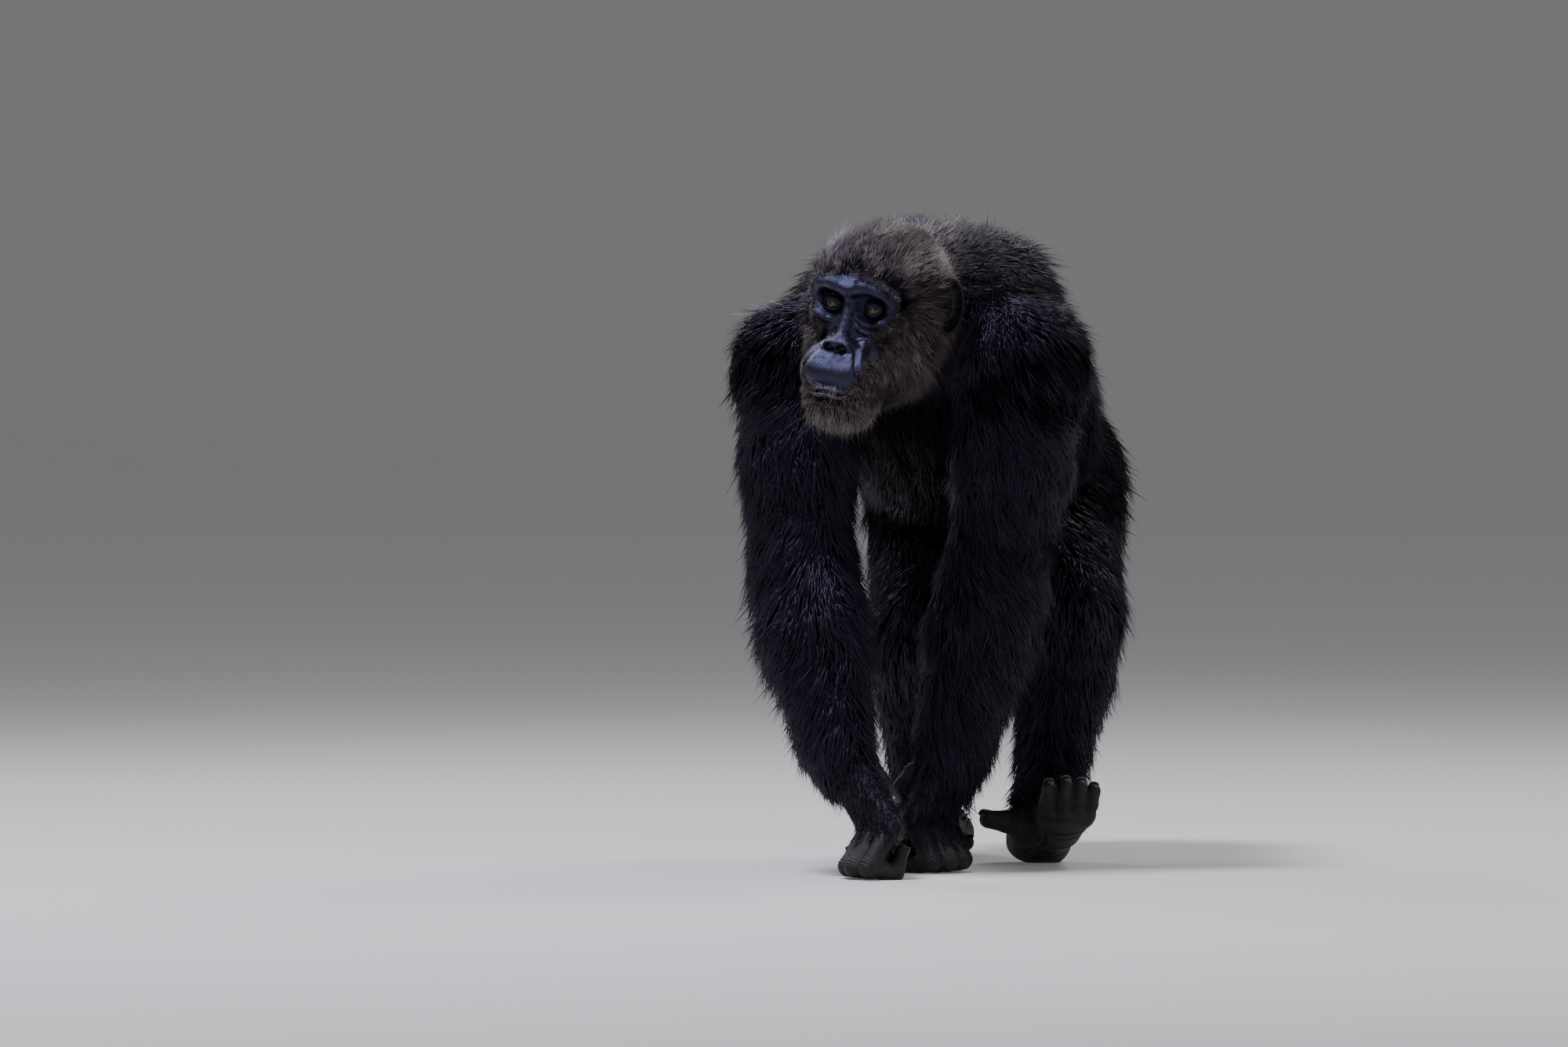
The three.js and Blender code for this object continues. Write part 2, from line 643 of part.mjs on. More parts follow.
// Head frame: x forwards out of the face, y to the animal's left, z up, from midway between the eyes
const headTurn = new THREE.Matrix4().makeRotationZ(rad(-HEAD_TURN));
const headNod = new THREE.Matrix4().makeRotationX(rad(HEAD_NOD));
const lookAxis = V(Math.sin(rad(VIEW_AZIMUTH)), -Math.cos(rad(VIEW_AZIMUTH)), 0);
const headTilt = new THREE.Matrix4().makeRotationAxis(lookAxis, rad(-HEAD_TILT));
const headTo = headTilt
  .clone()
  .multiply(headTurn)
  .multiply(headNod)
  .multiply(new THREE.Matrix4().makeBasis(V(0, -1, 0), V(1, 0, 0), V(0, 0, 1)))
  .setPosition(EYES_MID);
const both = (make) => SIDES.map((side) => make(outward(side)));

// The head in its own frame
function headField() {
  const solid = blended(16, [
    ball(V(-84, 0, 22), V(80, 60, 60), 12),
    ball(V(-60, 0, 48), V(58, 34, 32), 12),
    ball(V(-116, 0, -14), V(46, 58, 54), 16),
    ball(V(-36, 0, 28), V(46, 46, 34), 7),
    ball(V(-60, 0, -88), V(50, 46, 42), 14),
    ball(V(-14, 0, -30), V(30, 38, 42)),
    ...both((s) => ball(V(6, s * 20, -80), V(47, 34, 36))),
    ball(V(12, 0, -120), V(35, 38, 25), 7),
    ...both((s) => bar(V(-2, s * 45, -16), V(-56, s * 58, -22), 13, 14, 2, 8)),
    ...both((s) => ball(V(-50, s * 42, -62), V(42, 26, 50), 14)),
  ]);
  const brow = blended(8, [
    ...both((s) => bar(V(-2, s * 54, 12), V(12, s * 26, 26), 9, 10.5)),
    ...both((s) => bar(V(12, s * 26, 26), V(11, 0, 21), 10.5, 9.5)),
  ]);
  const nose = blended(8, [
    bar(V(6, 0, 4), V(25, 0, -36), 7, 8),
    ball(V(34, 0, -42), V(9, 10, 8)),
    ...both((s) => ball(V(28, s * 13, -45), V(12, 10, 9))),
  ]);
  const lips = blended(6, [
    ...both((s) => ball(V(32, s * 14, -80), V(24, 27, 20))),
    bar(V(52, 12, -102), V(52, -12, -102), 5.5, 5.5),
    ...both((s) => bar(V(52, s * 12, -102), V(33, s * 38, -106), 5.5, 5)),
  ]);
  const sockets = both((s) => ball(V(14, s * EYE_SPREAD, -3), V(17, 16, 12)));
  return (p) => {
    let d = blend(solid(p), brow(p), 12);
    for (const socket of sockets) d = carve(d, socket(p), 10);
    return blend(blend(d, nose(p), 9), lips(p), 12);
  };
}

const worldToHead = headTo.clone().invert();
const headShape = headField();
const headWorldField = (p) => headShape(p.clone().applyMatrix4(worldToHead));

// Cheek ruff and beard, in the head's frame
function headLocks() {
  const neckHere = neckField();
  const earRooms = both((s) => ball(V(-98, s * 78, -2), V(30, 18, 38)));
  const others = [(p) => neckHere(p.clone().applyMatrix4(headTo)), ...earRooms];
  const ruff = locksAlong(headShape, others, V(-62, 0, -10), V(-42, 0, -118), {
    rows: [0.1, 0.45, 0.8],
    each: 11,
    lieAt: (p, n) => V(-0.55, 0, -1),
    size: () => ({ length: 44, width: 30, depth: 10 }),
    facing: (p, n) => p.x < -8 && Math.abs(p.y) > 24,
  });
  const beard = locksAlong(headShape, others, V(4, 0, -96), V(-6, 0, -122), {
    rows: [0.95],
    each: 9,
    lieAt: () => V(-0.2, 0, -1),
    size: () => ({ length: 28, width: 20, depth: 7 }),
    facing: (p, n) => n.x > -0.4,
  });
  return [...ruff, ...beard];
}

// Lids, nostrils and the line of the mouth are cut and joined on the head's own mesh, in the head's frame.
const LID_RADIUS = 15.5;
const LID_OPENING = { half: 12.5, height: 5.5 };
const NOSTRIL = { x: 38, y: 9.5, z: -46, size: V(7, 5.5, 4.5) };
const MOUTH = { front: V(61, 0, -98), corner: V(34, 41, -105), depth: 11, height: 1.5 };
const eyeAt = (s) => V(EYE_DEPTH, s * EYE_SPREAD, 0);

function orb(centre, radius, detail) {
  return new THREE.IcosahedronGeometry(radius, detail).translate(centre.x, centre.y, centre.z);
}

function mouthLine() {
  const { front, corner, depth, height } = MOUTH;
  const curve = new THREE.CatmullRomCurve3([
    V(corner.x - 5, corner.y + 3, corner.z - 1),
    V(corner.x + 9, corner.y - 7, corner.z + 2),
    V(front.x - 4, 18, front.z - 2),
    front,
    V(front.x - 4, -18, front.z - 2),
    V(corner.x + 9, -corner.y + 7, corner.z + 2),
    V(corner.x - 5, -corner.y - 3, corner.z - 1),
  ]);
  const steps = 22;
  const centre = V(4, 0, -100);
  const points = [];
  for (let i = 0; i <= steps; i++) {
    const p = curve.getPoint(i / steps);
    const out = p.clone().sub(centre).setZ(0).normalize();
    points.push(
      p.clone().addScaledVector(out, 14).add(V(0, 0, height * 1.6)),
      p.clone().addScaledVector(out, 14).add(V(0, 0, -height * 1.6)),
      p.clone().addScaledVector(out, -depth),
    );
  }
  const triangles = [0, 1, 2, steps * 3 + 2, steps * 3 + 1, steps * 3];
  for (let i = 0; i < steps; i++)
    for (let j = 0; j < 3; j++) {
      const [a, b] = [i * 3 + j, i * 3 + ((j + 1) % 3)];
      triangles.push(a, a + 3, b + 3, a, b + 3, b);
    }
  const made = new THREE.BufferGeometry().setFromPoints(points);
  made.setIndex(triangles);
  return made;
}

function lidOpening(s) {
  const shape = new THREE.Shape();
  shape.moveTo(-LID_OPENING.half, -1);
  shape.quadraticCurveTo(0, 2 * LID_OPENING.height - 1, LID_OPENING.half, 1);
  shape.quadraticCurveTo(0, -2 * LID_OPENING.height, -LID_OPENING.half, -1);
  const made = new THREE.ExtrudeGeometry(shape, { depth: 30, bevelEnabled: false, curveSegments: 6 });
  made.applyMatrix4(new THREE.Matrix4().makeBasis(V(0, 1, 0), V(0, 0, 1), V(1, 0, 0)));
  return made.translate(eyeAt(s).x + 4, eyeAt(s).y, eyeAt(s).z);
}

const HEAD_CORE = V(-34, 0, -38);
function head() {
  const rows = lines([0, 42, 14], [42, 138, 6], [138, 180, 14]);
  const columns = lines([0, 54, 5.4], [54, 250, 20], [250, 360, 5.8]);
  let solid = solidOf(skinAround(headShape, HEAD_CORE, rows, columns));
  solid = Manifold.union([solid, ...headLocks()]);
  for (const s of [1, -1]) {
    solid = solid.add(solidOf(orb(eyeAt(s), LID_RADIUS, 1)));
    solid = solid.subtract(solidOf(grown(orb(eyeAt(s), EYE_RADIUS, 1), GAP)));
    solid = solid.subtract(solidOf(lidOpening(s)));
    const { x, y, z, size } = NOSTRIL;
    const pit = new THREE.SphereGeometry(1, 8, 6).scale(size.x, size.y, size.z).rotateY(rad(25));
    pit.translate(x, s * y, z);
    solid = solid.subtract(solidOf(pit));
  }
  const slit = solidOf(mouthLine());
  return largest(solid.subtract(slit)).transform(headTo.elements);
}

// The face between head and neck, in the head's frame: it runs from behind the crown to below the jaw.
const NAPE = [V(-150, 0, 60), V(-88, 0, -130)];
function headAndNeck() {
  const across = V(0, 1, 0);
  const normal = NAPE[1].clone().sub(NAPE[0]).cross(across).normalize().negate();
  if (normal.x < 0) normal.negate();
  const turned = normal.clone().transformDirection(headTo);
  const far = turned.dot(NAPE[0].clone().applyMatrix4(headTo));
  const neckSkin = solidOf(limbSkin(neckField(), NECK.from, NECK.to, 125, 40, 33));
  const whole = Manifold.union([head(), neckSkin, ...neckLocks()]);
  return [
    largest(whole.trimByPlane(turned.toArray(), far + GAP / 2)),
    whole.trimByPlane(turned.clone().negate().toArray(), GAP / 2 - far),
  ];
}

// Ear: a cupped dish with a thick rim, standing off the side of the head
const EAR = { x: -92, y: 69, z: -4, height: 36, width: 25, depth: 15, wall: 5, splay: 38 };
function ear(s) {
  const { height, width, depth, wall } = EAR;
  const outer = new THREE.SphereGeometry(1, 11, 7).scale(width, depth, height);
  const hollow = new THREE.SphereGeometry(1, 9, 6).scale(width - wall, depth, height - wall);
  hollow.translate(2, s * (depth - 4), 1);
  const stalk = new THREE.SphereGeometry(1, 8, 5).scale(16, 20, 20).translate(8, s * -10, -4);
  const solid = solidOf(outer).add(solidOf(stalk)).subtract(solidOf(hollow));
  const place = new THREE.Matrix4()
    .makeTranslation(EAR.x, s * EAR.y, EAR.z)
    .multiply(new THREE.Matrix4().makeRotationZ(s * rad(-EAR.splay)))
    .multiply(new THREE.Matrix4().makeTranslation(-width * 0.7, s * 4, 0));
  return largest(solid).transform(headTo.clone().multiply(place).elements);
}

// Every part in the order in which it is fitted: a later part is cut back from the earlier ones it meets.
const shapes = new Map();
const trunkGrid = [lines([-280, 300, 44]), lines([-340, 440, 50]), lines([320, 860, 45])];
const trunkSkin = solidOf(skinOf(trunk, new THREE.Matrix4(), ...trunkGrid));
shapes.set("torso", Manifold.union([trunkSkin, ...trunkLocks()]));
const [headSolid, neckSolid] = headAndNeck();
shapes.set("head", headSolid);
shapes.set("neck", neckSolid);

// A limb is made whole and then parted across its joints. Each cut has a place and a way towards the body.
function parted(whole, names, cuts) {
  let rest = whole;
  cuts.forEach(({ place, towards }, i) => {
    const normal = towards.clone().normalize();
    const far = normal.dot(place);
    shapes.set(names[i], largest(rest.trimByPlane(normal.toArray(), far + GAP / 2)));
    rest = largest(rest.trimByPlane(normal.negate().toArray(), GAP / 2 - far));
  });
  shapes.set(names[cuts.length], rest);
}

const bisector = (a, joint, b) => a.clone().sub(joint).normalize().add(joint.clone().sub(b).normalize());
for (const side of SIDES) {
  const [shoulder, elbow, wrist, knuckles] = [SHOULDER, ELBOW, WRIST, KNUCKLES].map((joint) => joint[side]);
  const arm = Manifold.union([
    solidOf(limbSkin(upperArmField(side), shoulder, elbow, 116, 50, 36)),
    solidOf(limbSkin(forearmField(side), elbow, wrist, 112, 46, 33)),
    ...armLocks(side),
    ...hand(side),
  ]);
  const towardsBody = bisector(elbow, wrist, knuckles);
  parted(arm, [`upper_arm_${side}`, `forearm_${side}`, `hand_${side}`], [
    { place: elbow, towards: bisector(shoulder, elbow, wrist) },
    { place: wrist.clone().addScaledVector(towardsBody.clone().normalize(), 6), towards: towardsBody },
  ]);
}
for (const side of SIDES) {
  const [hip, knee, ankle] = [HIP, KNEE, ANKLE].map((joint) => joint[side]);
  const { parts, up } = foot(side);
  const leg = Manifold.union([
    solidOf(limbSkin(thighField(side), hip, knee, 135, 40, 33)),
    solidOf(limbSkin(shinField(side), knee, ankle, 110, 46, 31)),
    ...legLocks(side),
    ...parts,
  ]).trimByPlane([outward(side), 0, 0], outward(side) * CROTCH + GAP / 2);
  const towards = knee.clone().sub(ankle).normalize().addScaledVector(up, 1.5);
  parted(leg, [`thigh_${side}`, `lower_leg_${side}`, `foot_${side}`], [
    { place: knee, towards: bisector(hip, knee, ankle) },
    { place: ankle.clone().addScaledVector(up, 12), towards },
  ]);
}
for (const side of SIDES) shapes.set(`ear_${side}`, ear(outward(side)));
for (const side of SIDES) {
  const eye = solidOf(orb(eyeAt(outward(side)), EYE_RADIUS, 1)).transform(headTo.elements);
  shapes.set(`eye_${side}`, eye);
}

const fitted = new Map();
for (const [name, shape] of shapes) {
  let solid = shape;
  const isEye = name.startsWith("eye");
  for (const [, earlier] of isEye ? [] : fitted) {
    const a = solid.boundingBox();
    const b = earlier.boundingBox();
    if ([0, 1, 2].some((n) => a.min[n] > b.max[n] + 1 || b.min[n] > a.max[n] + 1)) continue;
    solid = solid.subtract(solidOf(grown(geometryOf(earlier), GAP)));
  }
  solid = largest(solid.trimByPlane([0, 0, 1], 0));
  fitted.set(name, solid);
}

const COAT_BLACK = 0x0d0b0d;
const SKIN_DARK = 0x1b1614;
const EYE_BROWN = 0x3a1f0d;
const bareSkin = /hand|foot|ear/;
const chimpanzee = new THREE.Group();
for (const [name, solid] of fitted) {
  const isEye = name.startsWith("eye");
  const color = isEye ? EYE_BROWN : bareSkin.test(name) ? SKIN_DARK : COAT_BLACK;
  const roughness = isEye ? 0.08 : bareSkin.test(name) ? 0.5 : 0.6;
  const material = new THREE.MeshStandardMaterial({ color, roughness, metalness: 0 });
  const mesh = new THREE.Mesh(geometryOf(solid), material);
  mesh.name = name;
  chimpanzee.add(mesh);
}
chimpanzee.position.set(-BOX_CENTRE.x, -BOX_CENTRE.y, 0);

export default chimpanzee;
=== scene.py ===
"""Visual model of an adult male chimpanzee that walks on its knuckles.

Sizes are millimetres in the maker's own frame: +Z up, the animal faces -Y and its left side is +X.
They are turned into metres in the row frame when a mesh is made.
"""

import logging
import math
from dataclasses import dataclass, field, replace
from enum import Enum
from typing import Callable, ClassVar, Sequence

import bpy
import numpy as np
from mathutils import Matrix, Vector
from mathutils.kdtree import KDTree


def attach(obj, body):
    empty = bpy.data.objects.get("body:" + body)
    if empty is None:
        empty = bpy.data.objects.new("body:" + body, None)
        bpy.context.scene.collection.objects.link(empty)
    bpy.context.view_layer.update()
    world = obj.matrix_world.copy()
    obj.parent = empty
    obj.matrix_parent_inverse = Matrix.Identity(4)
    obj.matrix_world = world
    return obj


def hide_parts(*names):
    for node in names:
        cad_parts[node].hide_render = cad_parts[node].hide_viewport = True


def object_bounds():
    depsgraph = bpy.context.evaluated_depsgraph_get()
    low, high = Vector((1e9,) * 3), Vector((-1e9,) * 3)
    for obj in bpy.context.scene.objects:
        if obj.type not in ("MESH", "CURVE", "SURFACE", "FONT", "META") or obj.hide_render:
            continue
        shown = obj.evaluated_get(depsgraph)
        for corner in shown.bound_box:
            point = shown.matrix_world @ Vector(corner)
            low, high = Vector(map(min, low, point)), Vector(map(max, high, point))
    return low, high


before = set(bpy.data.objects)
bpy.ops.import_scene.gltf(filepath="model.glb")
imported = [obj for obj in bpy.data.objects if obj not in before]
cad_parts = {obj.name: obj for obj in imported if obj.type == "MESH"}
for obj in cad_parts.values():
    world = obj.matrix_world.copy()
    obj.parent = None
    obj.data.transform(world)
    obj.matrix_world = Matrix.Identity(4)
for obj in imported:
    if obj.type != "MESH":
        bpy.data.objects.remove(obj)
CAD_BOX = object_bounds()

log = logging.getLogger("chimpanzee")

Array = np.ndarray
Point = tuple[float, float, float]
Shape = Callable[[Array], Array]
Lie = Callable[[Array, Array], Array]
Object, Material = bpy.types.Object, bpy.types.Material
Node, Socket = bpy.types.Node, bpy.types.NodeSocket

MM = 0.001
ROW_SHIFT = np.array([3.0, 28.0, 0.0])  # from the maker's frame to the row frame, in mm
FAR = 1000.0  # stands for a distance that isn't worked out
GRID = (np.array([-255.0, -465.0, -20.0]), np.array([265.0, 415.0, 870.0]))  # sampled space
HAIR_OVER = 17.0  # how far hair may reach past the CAD model's box, in mm
LOWEST_HAIR = 4.0  # over the floor
ROOM = (  # lowest and highest corner of the space that hair may fill
    np.append(np.array(CAD_BOX[0])[:2] / MM - ROW_SHIFT[:2] - HAIR_OVER, LOWEST_HAIR),
    np.array(CAD_BOX[1]) / MM - ROW_SHIFT + HAIR_OVER,
)


class Side(Enum):
    """The animal's own left and right, with the sign of x on that side."""

    LEFT = 1
    RIGHT = -1

    @property
    def label(self) -> str:
        """The side's name as the nodes have it."""
        return self.name.lower()


def vec(*values: float) -> Array:
    """A point or direction as a numpy array."""
    return np.array(values, float)


def unit(v: Array) -> Array:
    """The same directions at length one."""
    return v / np.maximum(np.linalg.norm(v, axis=-1, keepdims=True), 1e-9)


def ways(x: Array | float, y: Array | float, z: Array | float) -> Array:
    """Directions from their three parts, one a row."""
    return np.stack(np.broadcast_arrays(x, y, z), axis=1)


def between(a: Array, b: Array, t: float) -> Array:
    """The point a share t of the way from a to b."""
    return a + (b - a) * t


def smooth(low: float, high: float, x: Array) -> Array:
    """A smooth step from 0 at low to 1 at high."""
    t = np.clip((x - low) / (high - low), 0.0, 1.0)
    return t * t * (3.0 - 2.0 * t)


# ---- Fields: negative inside, near enough a distance in mm ----


def blend(a: Array, b: Array, width: float) -> Array:
    """Two fields joined, with a fillet about width across where they meet."""
    h = np.maximum(width - np.abs(a - b), 0.0) / width
    return np.minimum(a, b) - h * h * width * 0.25


def carve(a: Array, b: Array, width: float) -> Array:
    """Field a with field b taken out of it."""
    return -blend(-a, b, width)


@dataclass(frozen=True)
class Ball:
    """A rounded mass with three radii, and the depth of the coat on it."""

    centre: Array
    radii: Array
    coat: float = 0.0

    def __call__(self, p: Array, share: float = 0.0) -> Array:
        """Distance from the mass, grown by a share of the coat.

        Args:
            p: points, one a row.
            share: share of the coat's depth that is added.

        Returns:
            Distances in mm.
        """
        q = (p - self.centre) / self.radii
        near = np.linalg.norm(q, axis=-1)
        slope = np.linalg.norm(q / self.radii, axis=-1)
        return near * (near - 1.0) / np.maximum(slope, 1e-6) - self.coat * share

    def box(self) -> tuple[Array, Array]:
        """Lowest and highest corner."""
        return self.centre - self.radii, self.centre + self.radii


@dataclass(frozen=True)
class Bar:
    """A round bar between two points, with a radius and a coat's depth at each end."""

    start: Array
    end: Array
    radius: float
    end_radius: float
    coat: float = 0.0
    end_coat: float | None = None

    def __call__(self, p: Array, share: float = 0.0) -> Array:
        """Distance from the bar, grown by a share of the coat.

        Args:
            p: points, one a row.
            share: share of the coat's depth that is added.

        Returns:
            Distances in mm.
        """
        last = self.coat if self.end_coat is None else self.end_coat
        along = self.end - self.start
        from_start = p - self.start
        t = np.clip(from_start @ along / (along @ along), 0.0, 1.0)
        first_radius = self.radius + self.coat * share
        last_radius = self.end_radius + last * share
        off = np.linalg.norm(from_start - t[..., None] * along, axis=-1)
        return off - first_radius - t * (last_radius - first_radius)

    def box(self) -> tuple[Array, Array]:
        """Lowest and highest corner."""
        r = max(self.radius, self.end_radius)
        return np.minimum(self.start, self.end) - r, np.maximum(self.start, self.end) + r


@dataclass(frozen=True)
class Blend:
    """Several fields joined by fillets of one width."""

    width: float
    members: tuple

    def __call__(self, p: Array, share: float = 0.0) -> Array:
        """Distance from the joined mass.

        Args:
            p: points, one a row.
            share: share of the coat's depth that is added.

        Returns:
            Distances in mm.
        """
        total = np.full(p.shape[:-1], FAR)
        for member in self.members:
            total = blend(total, member(p, share), self.width)
        return total

    def box(self) -> tuple[Array, Array]:
        """Lowest and highest corner."""
        boxes = [m.box() for m in self.members]
        return np.min([b[0] for b in boxes], axis=0), np.max([b[1] for b in boxes], axis=0)


def blended(width: float, *members) -> Blend:
    """Short way to write a Blend."""
    return Blend(width, tuple(members))


def near_box(box: tuple[Array, Array], reach: float, shape: Shape, p: Array) -> Array:
    """A field worked out only within reach of a box.

    Args:
        box: lowest and highest corner.
        reach: how far outside the box, in mm.
        shape: the field.
        p: points, one a row.

    Returns:
        One distance a row, FAR outside that reach.
    """
    close = ((p > box[0] - reach) & (p < box[1] + reach)).all(axis=1)
    out = np.full(len(p), FAR)
    if close.any():
        out[close] = shape(p[close])
    return out


def slope_of(shape: Shape, p: Array, step: float = 0.8) -> Array:
    """The way in which a field grows at some points.

    Args:
        shape: the field.
        p: points, one a row.
        step: reach of the differences in mm.

    Returns:
        One gradient a row.
    """
    out = np.empty_like(p)
    for axis in range(3):
        q = p.copy()
        q[:, axis] += step
        ahead = shape(q)
        q[:, axis] -= 2 * step
        out[:, axis] = (ahead - shape(q)) / (2 * step)
    return out


def settle(shape: Shape, p: Array, rounds: int = 3, height: Array | float = 0.0) -> Array:
    """Moves points to a height over a field's surface.

    Args:
        shape: the field.
        p: points, one a row.
        rounds: number of steps.
        height: height over the surface in mm.

    Returns:
        The moved points.
    """
    for _ in range(rounds):
        slope = slope_of(shape, p)
        square = np.maximum((slope * slope).sum(1), 0.15)
        move = np.clip((height - shape(p)) / square, -6.0, 6.0)
        p = p + slope * move[:, None]
    return p


# ---- Meshes as arrays ----


@dataclass
class Surface:
    """A triangle mesh: points in mm, and triangles as rows of three indices."""

    points: Array
    triangles: Array

    def normals(self) -> Array:
        """The way out at each point.

        Returns:
            One unit vector a point.
        """
        a, b, c = (self.points[self.triangles[:, i]] for i in range(3))
        face = np.cross(b - a, c - a)
        out = np.zeros_like(self.points)
        for i in range(3):
            np.add.at(out, self.triangles[:, i], face)
        return unit(out)

    def areas(self) -> Array:
        """The area of each triangle."""
        a, b, c = (self.points[self.triangles[:, i]] for i in range(3))
        return np.linalg.norm(np.cross(b - a, c - a), axis=1) / 2

    def joined(self, other: "Surface") -> "Surface":
        """Both meshes as one."""
        shifted = other.triangles + len(self.points)
        return Surface(np.vstack([self.points, other.points]), np.vstack([self.triangles, shifted]))

    def refined(self, wanted: Array) -> "Surface":
        """The mesh with each edge halved whose two ends are wanted, and no cracks.

        Args:
            wanted: one truth value a point.

        Returns:
            The finer mesh. The old points keep their places.
        """
        t = self.triangles
        edges = np.sort(np.stack([t[:, [0, 1]], t[:, [1, 2]], t[:, [2, 0]]], axis=1), axis=2)
        keys = edges[..., 0].astype(np.int64) * len(self.points) + edges[..., 1]
        cut = wanted[edges].all(axis=2)
        used, inverse = np.unique(keys[cut], return_inverse=True)
        ends = np.stack([used // len(self.points), used % len(self.points)], axis=1)
        middle = np.full(keys.shape, -1, np.int64)
        middle[cut] = inverse + len(self.points)
        points = np.vstack([self.points, self.points[ends].mean(axis=1)])
        count = cut.sum(axis=1)
        made = [t[count == 0]]
        whole = t[count == 3]
        m = middle[count == 3]
        a, b, c = whole.T
        ab, bc, ca = m.T
        made += [np.stack(x, 1) for x in ((a, ab, ca), (ab, b, bc), (ca, bc, c), (ab, bc, ca))]
        for turn in range(3):
            row = (count == 1) & cut[:, turn]
            a, b, c = np.roll(t[row], -turn, axis=1).T
            ab = middle[row, turn]
            made += [np.stack(x, 1) for x in ((a, ab, c), (ab, b, c))]
            row = (count == 2) & ~cut[:, turn]
            a, b, c = np.roll(t[row], -turn, axis=1).T
            bc, ca = middle[row, (turn + 1) % 3], middle[row, (turn + 2) % 3]
            made += [np.stack(x, 1) for x in ((a, b, bc), (a, bc, ca), (ca, bc, c))]
        return Surface(points, np.vstack(made))


def spread(low: float, high: float, step: float) -> Array:
    """Evenly spaced grid lines."""
    return low + step * np.arange(int(math.ceil((high - low) / step)) + 1)


def surface_of(values: Array, origin: Array, step: float) -> Surface:
    """The closed surface where a sampled field is zero.

    Args:
        values: the field at each grid point, positive on the rim.
        origin: the grid's lowest corner.
        step: the grid's step.

    Returns:
        The surface, facing out.
    """
    inside = values < 0
    corners = [(i, j, k) for i in (0, 1) for j in (0, 1) for k in (0, 1)]
    cells = np.array(values.shape) - 1
    window = [tuple(slice(c[a], c[a] + cells[a]) for a in range(3)) for c in corners]
    count = sum(inside[w].astype(np.int8) for w in window)
    active = np.argwhere((count > 0) & (count < 8))
    index = np.full(cells, -1, np.int64)
    index[tuple(active.T)] = np.arange(len(active))
    value = np.stack([values[tuple((active + c).T)] for c in np.array(corners)], axis=1)
    total = np.zeros((len(active), 3))
    crossings = np.zeros(len(active))
    for m, a in enumerate(corners):
        for n, b in enumerate(corners):
            if m < n and sum(x != y for x, y in zip(a, b)) == 1:
                crossed = (value[:, m] < 0) != (value[:, n] < 0)
                t = value[crossed, m] / (value[crossed, m] - value[crossed, n])
                total[crossed] += np.array(a) + t[:, None] * (np.array(b) - np.array(a))
                crossings[crossed] += 1
    points = origin + step * (active + total / crossings[:, None])
    quads = []
    for axis in range(3):
        m, n = (axis + 1) % 3, (axis + 2) % 3
        low, high = [slice(None)] * 3, [slice(None)] * 3
        low[axis], high[axis] = slice(0, -1), slice(1, None)
        start, end = inside[tuple(low)], inside[tuple(high)]
        at = np.argwhere(start != end)
        flips = end[tuple(at.T)]
        ring = []
        for dm, dn in ((1, 1), (0, 1), (0, 0), (1, 0)):
            cell = at.copy()
            cell[:, m] -= dm
            cell[:, n] -= dn
            ring.append(index[tuple(cell.T)])
        ring = np.stack(ring, axis=1)
        ring[flips] = ring[flips][:, ::-1]
        quads.append(ring)
    q = np.vstack(quads)
    a, b, c, d = (points[q[:, i]] for i in range(4))
    short = ((a - c) ** 2).sum(1) < ((b - d) ** 2).sum(1)
    first = np.where(short[:, None], q[:, [0, 1, 2]], q[:, [1, 2, 3]])
    second = np.where(short[:, None], q[:, [0, 2, 3]], q[:, [1, 3, 0]])
    return Surface(points, np.vstack([first, second]))


@dataclass
class Sampled:
    """A field sampled on a grid, looked up by interpolation."""

    values: Array
    origin: Array
    step: float

    def __call__(self, p: Array) -> Array:
        """The field at some points."""
        return self.look(p)[0]

    def look(self, p: Array) -> tuple[Array, Array]:
        """The field and its gradient at some points.

        Args:
            p: points, one a row.

        Returns:
            One value a row and one gradient a row.
        """
        q = (p - self.origin) / self.step
        top = np.array(self.values.shape) - 1.001
        q = np.clip(q, 0.0, top)
        low = np.floor(q).astype(int)
        t = q - low
        i, j, k = low.T
        x, y, z = t.T
        v = self.values
        c = [v[i + a, j + b, k + c] for a in (0, 1) for b in (0, 1) for c in (0, 1)]
        c000, c001, c010, c011, c100, c101, c110, c111 = c
        x0y0, x0y1 = c000 + z * (c001 - c000), c010 + z * (c011 - c010)
        x1y0, x1y1 = c100 + z * (c101 - c100), c110 + z * (c111 - c110)
        x0, x1 = x0y0 + y * (x0y1 - x0y0), x1y0 + y * (x1y1 - x1y0)
        slope_y = (x0y1 - x0y0) * (1 - x) + (x1y1 - x1y0) * x
        z00, z01, z10, z11 = c001 - c000, c011 - c010, c101 - c100, c111 - c110
        slope_z = (z00 * (1 - y) + z01 * y) * (1 - x) + (z10 * (1 - y) + z11 * y) * x
        slope = np.stack([x1 - x0, slope_y, slope_z], axis=1) / self.step
        return x0 + x * (x1 - x0), slope


# ---- Blender meshes ----


